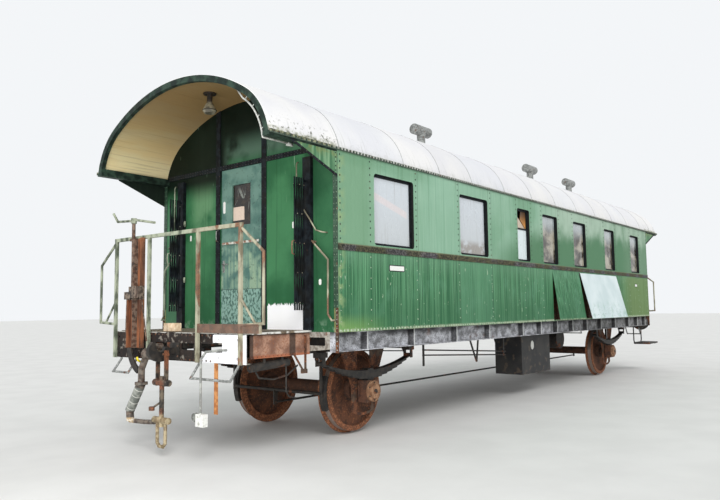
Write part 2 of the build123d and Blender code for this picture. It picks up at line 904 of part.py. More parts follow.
# Hand brake stand: two channels carry the bearing, the column, a top guide and the pull rods
stand_x = -(rail_face["near"] + rail_thickness)
stand_depth = 60
stand_plate = 8
column_x = stand_x - stand_depth / 2
column_y = 693
column_radius = 20
column_top = above_rail(2495)
channel_bottom = above_rail(1080)
tall_channel = (500, 650, above_rail(2320))
short_channel = (662, 760, above_rail(1630))
bearing = ((540, above_rail(1640)), (730, above_rail(1770)))
nut_block = ((700, above_rail(1625)), (820, above_rail(1710)))
guide = ((650, above_rail(2290)), (726, above_rail(2320)))
rod_diameter = 16
brake_rods = (((806, 1630), (824, 1075)), ((508, 1620), (404, 1160)))

with BuildPart() as brake_stand:
    for low_y, high_y, top in (tall_channel, short_channel):
        block((stand_x, low_y, channel_bottom), (stand_x - stand_depth, high_y, top))
        block(
            (stand_x - stand_plate, low_y + stand_plate, channel_bottom),
            (stand_x - stand_depth, high_y - stand_plate, top),
            mode=Mode.SUBTRACT,
        )
    for (low_y, low_z), (high_y, high_z) in (bearing, nut_block, guide):
        block((stand_x, low_y, low_z), (stand_x - stand_depth, high_y, high_z))
    with Locations((column_x, column_y, (bearing[0][1] + column_top) / 2)):
        Cylinder(column_radius, column_top - bearing[0][1])
    for rod in brake_rods:
        round_bar([(column_x, y, above_rail(z)) for y, z in rod], rod_diameter)
keep(brake_stand, "hand_brake_stand")

# Hand brake handle: hub on the column and a cranked bar through it
handle_hub_radius = 32
handle_hub_height = 60
handle_diameter = 28
handle_points = ((1125, 2650), (1030, 2545), (740, 2530), (640, 2530), (545, 2515), (280, 2470))

with BuildPart() as brake_handle:
    with Locations((column_x, column_y, column_top + handle_hub_height / 2)):
        Cylinder(handle_hub_radius, handle_hub_height)
    round_bar([(column_x, y, above_rail(z)) for y, z in handle_points], handle_diameter)
keep(brake_handle, "hand_brake_handle")

# Hand brake crank: a curved quadrant plate below the short channel
crank_x = stand_x - 45
crank_thickness = 20
crank_top = channel_bottom - seat_gap
crank_outer_edge = ((752, crank_top), (683, above_rail(906)), (548, above_rail(798)))
crank_inner_edge = ((530, above_rail(868)), (622, above_rail(955)), (668, crank_top))

with BuildPart() as brake_crank:
    with BuildSketch(Plane.YZ.offset(crank_x)):
        with BuildLine():
            ThreePointArc(*crank_outer_edge)
            Line(crank_outer_edge[-1], crank_inner_edge[0])
            ThreePointArc(*crank_inner_edge)
            Line(crank_inner_edge[-1], crank_outer_edge[0])
        make_face()
    extrude(amount=crank_thickness / 2, both=True)
keep(brake_crank, "hand_brake_crank")

# Folding gates: pickets folded side by side on each post, with crossed straps on both their faces
gate_post_y = 1135
gate_post_half = 60
gate_post_depth = 45
gate_post_top = above_rail(3160)
gate_y = 1115
gate_bottom = above_rail(1480)
gate_top = above_rail(2920)
picket_count = 5
picket_half = 7
picket_pitch = 34
first_picket = 72
strap_width = 18
strap_thickness = 4
strap_rows = (above_rail(1560), above_rail(2200), above_rail(2840))
hinge_bar_z = (above_rail(1520), above_rail(2880))
hinge_bar_height = 24


def gate_picket_x(way, wall_x, number):
    """Gives a picket's place along X, counted from the post."""
    return wall_x + way * (first_picket + picket_pitch * number)


with BuildPart() as folding_gates:
    for end, way, wall_x in ends:
        for side in (-1, 1):
            middle_y = side * gate_y
            block(
                (wall_x, side * (gate_post_y - gate_post_half), deck_top),
                (wall_x + way * gate_post_depth, side * (gate_post_y + gate_post_half), gate_post_top),
            )
            for number in range(picket_count):
                picket_x = gate_picket_x(way, wall_x, number)
                block(
                    (picket_x - picket_half, middle_y - picket_half, gate_bottom),
                    (picket_x + picket_half, middle_y + picket_half, gate_top),
                )
            for low_z, high_z in zip(strap_rows, strap_rows[1:]):
                for number in range(0, picket_count - 2, 2):
                    start_x = gate_picket_x(way, wall_x, number)
                    end_x = gate_picket_x(way, wall_x, number + 2)
                    strap_y = picket_half + strap_thickness / 2
                    flat_bar(
                        (start_x, middle_y + strap_y, low_z), (end_x, middle_y + strap_y, high_z),
                        strap_thickness, strap_width, (0, 1, 0),
                    )
                    flat_bar(
                        (end_x, middle_y - strap_y, low_z), (start_x, middle_y - strap_y, high_z),
                        strap_thickness, strap_width, (0, 1, 0),
                    )
            for bar_low in hinge_bar_z:
                block(
                    (wall_x + way * gate_post_depth, middle_y - picket_half, bar_low),
                    (gate_picket_x(way, wall_x, 0), middle_y + picket_half, bar_low + hinge_bar_height),
                )
keep(folding_gates, "folding_gates")

# Grab rods beside each entrance, bent clear of the end wall between their two seats
grab_rod_clear = 55
grab_rod_diameter = 20
grab_rod_points = ((1230, 2218), (1453, 2009), (1447, 1435), (1500, 1370))

with BuildPart() as grab_rods:
    for end, way, wall_x in ends:
        out_x = wall_x + way * grab_rod_clear
        for side in (-1, 1):
            route = [(out_x, side * y, above_rail(z)) for y, z in grab_rod_points]
            first = (wall_x, route[0][1], route[0][2])
            last = (wall_x, route[-1][1], route[-1][2])
            round_bar([first] + route + [last], grab_rod_diameter)
keep(grab_rods, "grab_rods")

# Wheelsets: axle, two dished wheels and the tyres turn as one
rim_out = gauge_face + rim_width
rim_inner_radius = tread_radius - 65
tread_fall = 5
axle_radius = 80
hub_radius = 135
hub_proud = 18
disc_thickness = 26
disc_rim_y = gauge_face + 78
disc_hub_y = gauge_face + 48
tread_start = gauge_face + 38
flange_edge = gauge_face + 20
flange_inner_edge = gauge_face + 6

for end, way, _ in ends:
    axle_x = way * wheelbase / 2
    with BuildPart() as wheelset:
        with BuildSketch(Plane(origin=(axle_x, 0, axle_z), x_dir=(0, 1, 0), z_dir=(1, 0, 0))):
            with BuildLine():
                Polyline(
                    (0, 0),
                    (journal_end, 0),
                    (journal_end, journal_radius),
                    (rim_out + hub_proud, journal_radius),
                    (rim_out + hub_proud, hub_radius),
                    (disc_hub_y + disc_thickness, hub_radius),
                    (disc_rim_y + disc_thickness, rim_inner_radius),
                    (rim_out, rim_inner_radius),
                    (rim_out, tread_radius - tread_fall),
                    (tread_start, tread_radius),
                    (flange_edge, flange_radius),
                    (flange_inner_edge, flange_radius),
                    (gauge_face, rim_inner_radius),
                    (disc_rim_y, rim_inner_radius),
                    (disc_hub_y, hub_radius),
                    (gauge_face - hub_proud, hub_radius),
                    (gauge_face - hub_proud, axle_radius),
                    (0, axle_radius),
                    close=True,
                )
            make_face()
        revolve(axis=Axis((axle_x, 0, axle_z), (0, 1, 0)))
        mirror(about=Plane.XZ)
    keep(wheelset, f"wheelset_{end}")

# Axle boxes: cast body with side guides, stepped round cover and a bore for the journal
box_inner_y = 930
box_outer_y = 1095
axle_box_half = 130
axle_box_body = 108
cover_radius = 125
cover_length = 26
cap_radius = 85
cap_length = 22
guide_lap = 15
guide_play = 2
guide_width = 20

with BuildPart() as axle_boxes:
    for axle_x in axle_stations:
        for side in (-1, 1):
            block(
                (axle_x - axle_box_body, side * box_inner_y, axle_z - axle_box_half),
                (axle_x + axle_box_body, side * box_outer_y, axle_z + axle_box_half),
            )
            guide_inner = sill_y - plate - moving_gap
            guide_outer = sill_y + plate + moving_gap
            for guide_y in (
                (box_inner_y, guide_inner - guide_play),
                (guide_outer + guide_play, guide_outer + guide_play + guide_width),
            ):
                block(
                    (axle_x - axle_box_half - guide_lap, side * guide_y[0], axle_z - axle_box_half / 2),
                    (axle_x + axle_box_half + guide_lap, side * guide_y[1], axle_z + axle_box_half / 2),
                )
            cover_end = box_outer_y + cover_length
            cover_y = side * (box_outer_y + cover_length / 2)
            pin_along_y((axle_x, cover_y, axle_z), cover_radius, cover_length)
            pin_along_y((axle_x, side * (cover_end + cap_length / 2), axle_z), cap_radius, cap_length)
            bore_end = journal_end + moving_gap
            pin_along_y(
                (axle_x, side * (box_inner_y + bore_end) / 2, axle_z), journal_radius + running_gap,
                bore_end - box_inner_y, mode=Mode.SUBTRACT,
            )
keep(axle_boxes, "axle_boxes")

# Axle guards: forked plates riveted inside the main sills, tied below the box by a bent strap
guard_plate = 16
guard_lap = 120
guard_reach = 420
guard_waist = 230
guard_waist_z = axle_z + 60
guard_foot = 215
guard_foot_z = axle_z - 240
fork_half = axle_box_half
fork_top = sill_bottom - 10
tie_sag = 55
tie_height = 32

with BuildPart() as axle_guards:
    for axle_x in axle_stations:
        for side in (-1, 1):
            with BuildSketch(Plane.XZ.offset(-side * (sill_y - guard_plate / 2))):
                with BuildLine() as outline:
                    Polyline(
                        (axle_x - guard_reach, sill_bottom),
                        (axle_x - guard_reach, sill_bottom + guard_lap),
                        (axle_x + guard_reach, sill_bottom + guard_lap),
                        (axle_x + guard_reach, sill_bottom),
                        (axle_x + guard_waist, guard_waist_z),
                        (axle_x + guard_foot, guard_foot_z),
                        (axle_x + fork_half, guard_foot_z),
                        (axle_x + fork_half, fork_top),
                        (axle_x - fork_half, fork_top),
                        (axle_x - fork_half, guard_foot_z),
                        (axle_x - guard_foot, guard_foot_z),
                        (axle_x - guard_waist, guard_waist_z),
                        close=True,
                    )
                make_face(outline.edges())
                tie_left = axle_x - guard_foot
                tie_right = axle_x + guard_foot
                tie_top = guard_foot_z + tie_height
                with BuildLine() as tie:
                    ThreePointArc(
                        (tie_left, guard_foot_z),
                        (axle_x, guard_foot_z - tie_sag),
                        (tie_right, guard_foot_z),
                    )
                    Line((tie_right, guard_foot_z), (tie_right, tie_top))
                    ThreePointArc(
                        (tie_right, tie_top),
                        (axle_x, tie_top - tie_sag),
                        (tie_left, tie_top),
                    )
                    Line((tie_left, tie_top), (tie_left, guard_foot_z))
                make_face(tie.edges())
            extrude(amount=guard_plate / 2, both=True)
keep(axle_guards, "axle_guards")

# Leaf springs: stepped curved packs, high at their eyes, clamped by a buckle on each axle box
leaf_count = 7
leaf_step = 14
leaf_shortening = 0.125
spring_half = 850
spring_radius = 2800
spring_width = 90
spring_y = 1025
spring_seat = 20
eye_radius = 24
eye_pin_radius = 12
buckle_width = 110
spring_low = axle_z + axle_box_half
pack_bottom = spring_low + spring_seat
pack_top = pack_bottom + leaf_count * leaf_step
spring_centre_z = pack_top + spring_radius
eye_angle = asin(spring_half / spring_radius)
eye_z = spring_centre_z - (spring_radius + leaf_step / 2) * cos(eye_angle) + leaf_step / 2

with BuildPart() as leaf_springs:
    for axle_x in axle_stations:
        for side in (-1, 1):
            with BuildSketch(Plane.XZ.offset(-side * spring_y)):
                for number in range(leaf_count):
                    inner = spring_radius + number * leaf_step
                    outer = inner + leaf_step
                    half_turn = degrees(eye_angle) * (1 - leaf_shortening * number)
                    with BuildLine() as leaf:
                        low = CenterArc((axle_x, spring_centre_z), outer, 270 - half_turn, 2 * half_turn)
                        high = CenterArc((axle_x, spring_centre_z), inner, 270 - half_turn, 2 * half_turn)
                        Line(low @ 0, high @ 0)
                        Line(low @ 1, high @ 1)
                    make_face(leaf.edges())
                with Locations((axle_x, (spring_low + pack_top + spring_seat) / 2)):
                    Rectangle(buckle_width, pack_top + spring_seat - spring_low)
                with Locations((axle_x - spring_half, eye_z), (axle_x + spring_half, eye_z)):
                    Circle(eye_radius)
                    Circle(eye_pin_radius + seat_gap, mode=Mode.SUBTRACT)
            extrude(amount=spring_width / 2, both=True)
keep(leaf_springs, "leaf_springs")

# Spring hangers drop from the main sills to the spring eyes
hanger_plate = 12
hanger_half = 25
hanger_foot = 35
hanger_block_half = 60
hanger_block_depth = 60
cheek_y = spring_width / 2 + seat_gap + hanger_plate / 2

with BuildPart() as spring_hangers:
    for axle_x in axle_stations:
        for side in (-1, 1):
            middle_y = side * spring_y
            for eye_x in (axle_x - spring_half, axle_x + spring_half):
                for cheek in (middle_y - cheek_y, middle_y + cheek_y):
                    block(
                        (eye_x - hanger_half, cheek - hanger_plate / 2, eye_z - hanger_foot),
                        (eye_x + hanger_half, cheek + hanger_plate / 2, sill_bottom - hanger_block_depth),
                    )
                pin_along_y((eye_x, middle_y, eye_z), eye_pin_radius, 2 * cheek_y)
                block(
                    (
                        eye_x - hanger_block_half, middle_y - cheek_y - hanger_plate / 2,
                        sill_bottom - hanger_block_depth,
                    ),
                    (eye_x + hanger_block_half, middle_y + cheek_y + hanger_plate / 2, sill_bottom),
                )
keep(spring_hangers, "spring_hangers")

# Brake rigging: one block outside each wheel on its hanger, cross beams, levers and pull rods
shoe_gap = 9
shoe_depth = 42
shoe_half_angle = 22
shoe_y = (gauge_face + 48, rim_out - 7)
brake_beam_x = tread_radius + shoe_gap + shoe_depth + 12
brake_beam_diameter = 40
hanger_width = 40
hanger_thickness = 16
shoe_hanger_y = (shoe_y[0] + shoe_y[1]) / 2
hanger_top = sill_bottom + 60
hanger_arm_half = 20
pull_rod_z = above_rail(350)
pull_rod_diameter = 28
lever_width = 60
lever_thickness = 16
brake_cylinder_x = 1500
brake_cylinder_half = 260
brake_cylinder_radius = 180
brake_cylinder_z = above_rail(880)
cylinder_lever_x = brake_cylinder_half + 110
piston_rod_diameter = 40

with BuildPart() as brake_rigging:
    for axle_x, way in zip(axle_stations, (-1, 1)):
        beam_x = axle_x + way * brake_beam_x
        middle_angle = 180 if way < 0 else 0
        for side in (-1, 1):
            with BuildSketch(Plane.XZ.offset(-side * shoe_hanger_y)):
                with BuildLine() as shoe:
                    start = middle_angle - shoe_half_angle
                    face = CenterArc((axle_x, axle_z), tread_radius + shoe_gap, start, 2 * shoe_half_angle)
                    back = CenterArc(
                        (axle_x, axle_z), tread_radius + shoe_gap + shoe_depth, start, 2 * shoe_half_angle
                    )
                    Line(face @ 0, back @ 0)
                    Line(face @ 1, back @ 1)
                make_face(shoe.edges())
            extrude(amount=(shoe_y[1] - shoe_y[0]) / 2, both=True)
            flat_bar(
                (beam_x, side * shoe_hanger_y, axle_z - hanger_width),
                (beam_x, side * shoe_hanger_y, hanger_top),
                hanger_width, hanger_thickness, (0, 1, 0),
            )
            arm_start_y = side * (shoe_hanger_y - hanger_arm_half)
            block(
                (beam_x - hanger_arm_half, arm_start_y, hanger_top - hanger_arm_half),
                (beam_x + hanger_arm_half, side * sill_y, hanger_top + hanger_arm_half),
            )
        pin_along_y((beam_x, 0, axle_z), brake_beam_diameter / 2, 2 * shoe_hanger_y)
        flat_bar(
            (beam_x, 0, axle_z), (beam_x, 0, pull_rod_z - lever_width / 2),
            lever_width, lever_thickness, (1, 0, 0),
        )
        lever_x = brake_cylinder_x + way * cylinder_lever_x
        pin_along_x(((beam_x + lever_x) / 2, 0, pull_rod_z), pull_rod_diameter / 2, abs(beam_x - lever_x))
        flat_bar(
            (lever_x, 0, pull_rod_z - lever_width / 2), (lever_x, 0, brake_cylinder_z + lever_width),
            lever_width, lever_thickness, (1, 0, 0),
        )
        cylinder_face = brake_cylinder_x + way * (brake_cylinder_half + seat_gap)
        pin_along_x(
            ((lever_x + cylinder_face) / 2, 0, brake_cylinder_z), piston_rod_diameter / 2,
            abs(lever_x - cylinder_face),
        )
keep(brake_rigging, "brake_rigging")

# Brake rod struts: V-shaped brackets and hangers under the main sills, with two long thin rods
strut_foot_x = -1550
strut_spread = (-190, 60)
strut_foot_z = above_rail(660)
strut_width = 40
strut_thickness = 10
rod_hanger_x = (axle_stations[0] + 1250, -660)
rod_hanger_foot = above_rail(700)
side_rod_diameter = 20

# Side rods: height at the first and at the second hanger
side_rods = ((920, 770), (850, 715))

with BuildPart() as rod_struts:
    for side in (-1, 1):
        plate_y = side * (sill_y + 40)
        with BuildSketch(Plane.XZ.offset(-plate_y)):
            for spread in strut_spread:
                with BuildLine() as strut:
                    Polyline(
                        (strut_foot_x - strut_width / 2, strut_foot_z),
                        (strut_foot_x + strut_width / 2, strut_foot_z),
                        (strut_foot_x + spread + strut_width / 2, sill_bottom),
                        (strut_foot_x + spread - strut_width / 2, sill_bottom),
                        close=True,
                    )
                make_face(strut.edges())
        extrude(amount=strut_thickness / 2, both=True)
        for hanger_x in rod_hanger_x:
            block(
                (hanger_x - strut_width / 2, plate_y - strut_thickness / 2, rod_hanger_foot),
                (hanger_x + strut_width / 2, plate_y + strut_thickness / 2, sill_bottom),
            )
        rod_y = plate_y + side * (strut_thickness + side_rod_diameter) / 2
        for start_z, end_z in side_rods:
            start = (rod_hanger_x[0] - strut_width, rod_y, above_rail(start_z))
            end = (rod_hanger_x[1] + strut_width, rod_y, above_rail(end_z))
            round_bar((start, end), side_rod_diameter)
keep(rod_struts, "truss_struts")

# Platform side beams: inner plate from headstock to body, outer channel over most of its length
platform_beam_y = 1118
platform_beam_bottom = above_rail(1007)
beam_channel_reach = 1142
beam_channel_end = 300
beam_flange_thickness = 10
beam_tie_half = 6
beam_tie_drop = 205
beam_tie_from_wall = 200
beam_tie_from_headstock = 150

with BuildPart() as platform_beams:
    for _, way, wall_x in ends:
        for side in (-1, 1):
            block(
                (wall_x, side * platform_beam_y, platform_beam_bottom),
                (way * deck_end, side * (platform_beam_y + plate), sill_top),
            )
            for edge_z in (platform_beam_bottom, sill_top - beam_flange_thickness):
                block(
                    (wall_x + way * beam_channel_end, side * (platform_beam_y + plate), edge_z),
                    (way * deck_end, side * beam_channel_reach, edge_z + beam_flange_thickness),
                )
            for station in (wall_x + way * beam_tie_from_wall, way * (deck_end - beam_tie_from_headstock)):
                block(
                    (station - beam_tie_half, side * (sill_y + sill_flange), sill_top - beam_tie_drop),
                    (station + beam_tie_half, side * platform_beam_y, sill_top),
                )
keep(platform_beams, "platform_beams")

# Far-end step boards, each on two looped irons below the platform's side beam
step_z = above_rail(600)
step_board = (5560, 6210)
step_inner_y = 1150
step_outer_y = 1500
step_board_thickness = 35
loop_x = (5600, 6160)
loop_y = platform_beam_y + plate + seat_gap + 13
loop_corner = 70
loop_diameter = 26
step_arm_half = 20
step_arm_thickness = 10
loop_top = platform_beam_bottom

with BuildPart() as steps_far:
    for side in (-1, 1):
        block(
            (step_board[0], side * step_inner_y, step_z),
            (step_board[1], side * step_outer_y, step_z + step_board_thickness),
        )
        low_x, high_x = loop_x
        loop_points = (
            (low_x, loop_top),
            (low_x, step_z + loop_corner),
            (low_x + loop_corner, step_z),
            (high_x - loop_corner, step_z),
            (high_x, step_z + loop_corner),
            (high_x, loop_top),
        )
        round_bar([(x, side * loop_y, z) for x, z in loop_points], loop_diameter)
        for arm_x in loop_x:
            middle_x = arm_x + (loop_corner if arm_x == low_x else -loop_corner)
            block(
                (middle_x - step_arm_half, side * loop_y, step_z - step_arm_thickness),
                (middle_x + step_arm_half, side * (step_outer_y - step_arm_half), step_z),
            )
keep(steps_far, "steps_far")

# Shunter's handles: cranked bars under the headstocks, as their inner and outer ends along Y
shunter_handle_spans = ((400, 1020), (-750, -1060))
handle_top_x = headstock_x - 25
handle_low_x = headstock_x + 80
handle_low_z = above_rail(797)
handle_stub = 20
handle_bar = 26

with BuildPart() as shunter_handles:
    for end, way, _ in ends:
        for inner_y, outer_y in shunter_handle_spans:
            legs = []
            for y in (way * inner_y, way * outer_y):
                legs.append([
                    (way * handle_top_x, y, headstock_bottom),
                    (way * handle_top_x, y, headstock_bottom - handle_stub),
                    (way * handle_low_x, y, handle_low_z),
                ])
            round_bar(legs[0] + legs[1][::-1], handle_bar)
keep(shunter_handles, "shunter_handles")

# Steam coupling at the near end: cock, elbow, flange, lagged pipe and the coupling head below
steam_x = -headstock_x - 90
steam_start_y = 225
cock_y = 290
cock_z = above_rail(1020)
cock_radius = 62
cock_length = 190
elbow_diameter = 74
elbow_points = ((380, 1000), (468, 850), (468, 700))
steam_flange_radius = 70
steam_flange_height = 30
steam_flange_z = above_rail(695)
lagging_diameter = 104
lagging_points = ((475, 690), (500, 645), (683, 385))
head_diameter = 84
head_points = ((683, 385), (672, 272))
fitting_diameter = 50
fitting_points = ((672, 275), (404, 283), (205, 300))

with BuildPart() as steam_coupling:
    start_z = above_rail(1100)
    elbow = [(steam_x, y, above_rail(z)) for y, z in elbow_points]
    entry = [
        (-headstock_x, steam_start_y, start_z),
        (steam_x, steam_start_y, start_z),
    ]
    round_bar(entry + elbow, elbow_diameter)
    pin_along_y((steam_x, cock_y, cock_z), cock_radius, cock_length)
    with Locations((steam_x, elbow_points[-1][0], steam_flange_z)):
        Cylinder(steam_flange_radius, steam_flange_height)
    for points, diameter in (
        (lagging_points, lagging_diameter),
        (head_points, head_diameter),
        (fitting_points, fitting_diameter),
    ):
        round_bar([(steam_x, y, above_rail(z)) for y, z in points], diameter)
keep(steam_coupling, "steam_coupling_near")

# Drop pipe at the near end with its junction box and plug, and the bare strap beside it
pipe_x = -headstock_x - 115
pipe_diameter = 24
pipe_points = ((-690, 1075), (-612, 1000), (-610, 450))
pipe_start_y = -890
pipe_start_z = above_rail(1095)
junction_box = ((-570, above_rail(336)), (-690, above_rail(460)))
junction_depth = 30
plug_radius = 45
plug_y = -530
plug_z = above_rail(418)
strap_span = (-665, -720)
strap_bottom = above_rail(445)
strap_plate = 8

with BuildPart() as drop_pipe:
    entry = [
        (-headstock_x - pad_thickness, pipe_start_y, pipe_start_z),
        (pipe_x, pipe_start_y, pipe_start_z),
    ]
    round_bar(entry + [(pipe_x, y, above_rail(z)) for y, z in pipe_points], pipe_diameter)
    (low_y, low_z), (high_y, high_z) = junction_box
    block((pipe_x - junction_depth, low_y, low_z), (pipe_x + junction_depth, high_y, high_z))
    pin_along_x((pipe_x, plug_y, plug_z), plug_radius, junction_depth)
    strap_x = -headstock_x + 10
    block(
        (strap_x, strap_span[0], strap_bottom),
        (strap_x + strap_plate, strap_span[1], headstock_bottom),
    )
keep(drop_pipe, "drop_pipe_near")

# Pipes under the near platform's front edge, hung from its side beam by two straps
pipe_run_y = -1090
pipe_run = ((-6200, 915), (-5680, 945))
pipe_run_diameter = 88
conduit_points = ((-6140, 900), (-6080, 810), (-5880, 780), (-5680, 808), (-5560, 880), (-5530, 900))
conduit_diameter = 18
drain_points = ((-5700, 945), (-5700, 636), (-5660, 586), (-5560, 558))
drain_diameter = 16
pipe_strap_x = (-6030, -5780)
pipe_strap_half = 15
pipe_strap_thickness = 6
pipe_strap_foot = above_rail(930)
pipe_strap_top = above_rail(1080)

with BuildPart() as platform_pipes:
    for points, diameter in (
        (pipe_run, pipe_run_diameter),
        (conduit_points, conduit_diameter),
        (drain_points, drain_diameter),
    ):
        round_bar([(x, pipe_run_y, above_rail(z)) for x, z in points], diameter)
    for strap_x in pipe_strap_x:
        block(
            (strap_x - pipe_strap_half, -platform_beam_y, pipe_strap_foot),
            (strap_x + pipe_strap_half, -platform_beam_y + pipe_strap_thickness, pipe_strap_top),
        )
keep(platform_pipes, "platform_pipes_near")

# Step bracket left at the near platform's inner front corner: post, stay and foot block
bracket_x = -5462
bracket_y = -platform_beam_y - plate - 10
bracket_post_half = 9
bracket_top = above_rail(1215)
bracket_foot_z = above_rail(835)
bracket_block = (75, 30, 45)
bracket_block_shift = 20
stay_foot_shift = 30
stay_top = (-5640, above_rail(1030))
stay_width = 22
stay_thickness = 8

with BuildPart() as step_bracket:
    block(
        (bracket_x - bracket_post_half, -platform_beam_y - plate, bracket_foot_z),
        (bracket_x + bracket_post_half, bracket_y - bracket_post_half, bracket_top),
    )
    with Locations((bracket_x - bracket_block_shift, bracket_y, bracket_foot_z)):
        Box(*bracket_block)
    flat_bar(
        (stay_top[0], bracket_y, stay_top[1]), (bracket_x - stay_foot_shift, bracket_y, bracket_foot_z),
        stay_thickness, stay_width, (0, 1, 0),
    )
keep(step_bracket, "step_bracket_near")

# Equipment under the floor: brake cylinder, air reservoir and battery box
strap_half = 25
reservoir_x = 2500
reservoir_z = above_rail(840)
reservoir_radius = 200
reservoir_length = 1300
reservoir_strap_half = 60
reservoir_strap_lap = 20
bracket_half_x = 150
bracket_half_y = 160
equipment_top = sill_top - draw_sill_depth

with BuildPart() as brake_cylinder:
    pin_along_x((brake_cylinder_x, 0, brake_cylinder_z), brake_cylinder_radius, 2 * brake_cylinder_half)
    block(
        (brake_cylinder_x - bracket_half_x, -bracket_half_y, brake_cylinder_z + bracket_half_y),
        (brake_cylinder_x + bracket_half_x, bracket_half_y, equipment_top),
    )
keep(brake_cylinder, "brake_cylinder")

with BuildPart() as air_reservoir:
    pin_along_y((reservoir_x, 0, reservoir_z), reservoir_radius, reservoir_length)
    strap_foot = reservoir_z + reservoir_radius - reservoir_strap_lap
    for strap_y in (-draw_sill_y, draw_sill_y):
        block(
            (reservoir_x - reservoir_strap_half, strap_y - strap_half, strap_foot),
            (reservoir_x + reservoir_strap_half, strap_y + strap_half, equipment_top),
        )
keep(air_reservoir, "air_reservoir")

battery_x = (-40, 1110)
battery_y = (-1020, -520)
battery_bottom = above_rail(335)
battery_clearance = 25
battery_hangers = (80, 990)
battery_top = sill_bottom - battery_clearance

with BuildPart() as battery_box:
    block((battery_x[0], battery_y[0], battery_bottom), (battery_x[1], battery_y[1], battery_top))
    for hanger_x in battery_hangers:
        block(
            (hanger_x - strap_half, -sill_y - sill_flange / 2, battery_top),
            (hanger_x + strap_half, -sill_y, sill_bottom),
        )
keep(battery_box, "battery_box")

# Hood lamps: flange, neck and glass bowl on each platform's ceiling
lamp_x = 5860
lamp_flange = 75
ceiling_radius = crown_radius - roof_skin_thickness - roof_board_thickness - seat_gap
lamp_top = roof_top - crown_radius + sqrt(ceiling_radius**2 - lamp_flange**2) - seat_gap

# Half section, as distance from the lamp's axis and height under the ceiling
lamp_section = (
    (0, 0),
    (lamp_flange, 0),
    (lamp_flange, -16),
    (32, -16),
    (32, -106),
    (85, -206),
    (60, -240),
    (0, -240),
)

with BuildPart() as hood_lamps:
    for way in (-1, 1):
        with BuildSketch(Plane(origin=(way * lamp_x, 0, lamp_top), x_dir=(1, 0, 0), z_dir=(0, -1, 0))):
            with BuildLine():
                Polyline(*lamp_section, close=True)
            make_face()
        revolve(axis=Axis((way * lamp_x, 0, lamp_top), (0, 0, 1)))
keep(hood_lamps, "hood_lamps")

# Roof ventilators: neck and a drum that lies along the roof
ventilators = (-1450, 2750, 4900)
vent_neck_radius = 70
vent_drum_radius = 88
vent_drum_length = 420
vent_drum_rise = 405
vent_root = 40

with BuildPart() as roof_ventilators:
    for vent_x in ventilators:
        with Locations((vent_x, 0, roof_top + (vent_drum_rise - vent_root) / 2)):
            Cylinder(vent_neck_radius, vent_drum_rise + vent_root)
        pin_along_x((vent_x, 0, roof_top + vent_drum_rise), vent_drum_radius, vent_drum_length)
    with BuildSketch(Plane.YZ):
        arch_face(-seat_gap, eaves_z)
    extrude(amount=hood_x, both=True, mode=Mode.SUBTRACT)
keep(roof_ventilators, "roof_ventilators")

# Partitions and benches that show through the windows
partition_stations = (-1400, 2060)
partition_thickness = 30
partition_door_top = above_rail(3150)
aisle_half = 330

with BuildPart() as partitions:
    for station in partition_stations:
        with BuildSketch(Plane.YZ.offset(station)):
            end_face(wall_arch_inset, floor_top)
            with Locations((0, (floor_top + partition_door_top) / 2)):
                Rectangle(2 * aisle_half, partition_door_top - floor_top, mode=Mode.SUBTRACT)
        extrude(amount=partition_thickness / 2, both=True)
keep(partitions, "partitions")

bench_stations = (-3420, -2000, -300, 780, 2680, 3780)
bench_depth = 480
bench_inner_y = 480
bench_seat_z = floor_top + 440
bench_seat_thickness = 40
bench_back_top = floor_top + 1150
bench_back_half = 15
bench_wall_gap = 2
bench_leg = 40
bench_leg_inset = 60

with BuildPart() as benches:
    for station in bench_stations:
        for side in (-1, 1):
            outer_y, inner_y = side * (inner_half - bench_wall_gap), side * bench_inner_y
            block(
                (station - bench_back_half, outer_y, floor_top),
                (station + bench_back_half, inner_y, bench_back_top),
            )
            block(
                (station - bench_depth, outer_y, bench_seat_z - bench_seat_thickness),
                (station + bench_depth, inner_y, bench_seat_z),
            )
            for way in (-1, 1):
                leg_x = station + way * (bench_depth - bench_leg_inset)
                leg_y = side * (bench_inner_y + bench_leg)
                leg_top = bench_seat_z - bench_seat_thickness / 2
                block(
                    (leg_x - bench_leg / 2, leg_y, floor_top),
                    (leg_x + bench_leg / 2, leg_y + side * bench_leg, leg_top),
                )
keep(benches, "benches")
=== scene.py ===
"""Looks of the two-axle passenger coach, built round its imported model. Lengths are in metres."""

import bpy
import math
from mathutils import Matrix, Vector


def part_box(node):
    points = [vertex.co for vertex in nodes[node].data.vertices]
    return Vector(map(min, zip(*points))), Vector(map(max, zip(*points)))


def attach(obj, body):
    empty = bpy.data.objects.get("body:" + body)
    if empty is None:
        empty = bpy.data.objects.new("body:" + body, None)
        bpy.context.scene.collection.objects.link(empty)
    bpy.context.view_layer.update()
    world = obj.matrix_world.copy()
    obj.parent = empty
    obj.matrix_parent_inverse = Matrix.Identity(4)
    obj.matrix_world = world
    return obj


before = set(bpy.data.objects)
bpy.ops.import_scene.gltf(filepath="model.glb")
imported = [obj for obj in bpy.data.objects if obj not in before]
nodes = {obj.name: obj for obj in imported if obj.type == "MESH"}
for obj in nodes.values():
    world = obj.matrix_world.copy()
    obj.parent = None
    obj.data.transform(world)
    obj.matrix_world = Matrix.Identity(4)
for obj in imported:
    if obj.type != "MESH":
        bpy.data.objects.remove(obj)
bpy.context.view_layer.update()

# Places read from the model
near_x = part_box("side_wall_front")[0].x
far_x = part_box("side_wall_front")[1].x
side_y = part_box("side_wall_back")[1].y
sill_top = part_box("side_wall_front")[0].z
eaves_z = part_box("side_wall_front")[1].z
hood_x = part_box("roof_skin")[1].x
waist_bottom, waist_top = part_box("waist_strips")[0].z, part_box("waist_strips")[1].z
rail = 0.03
axle_x, axle_z = 4.25, 0.53
headstock_x = 6.310

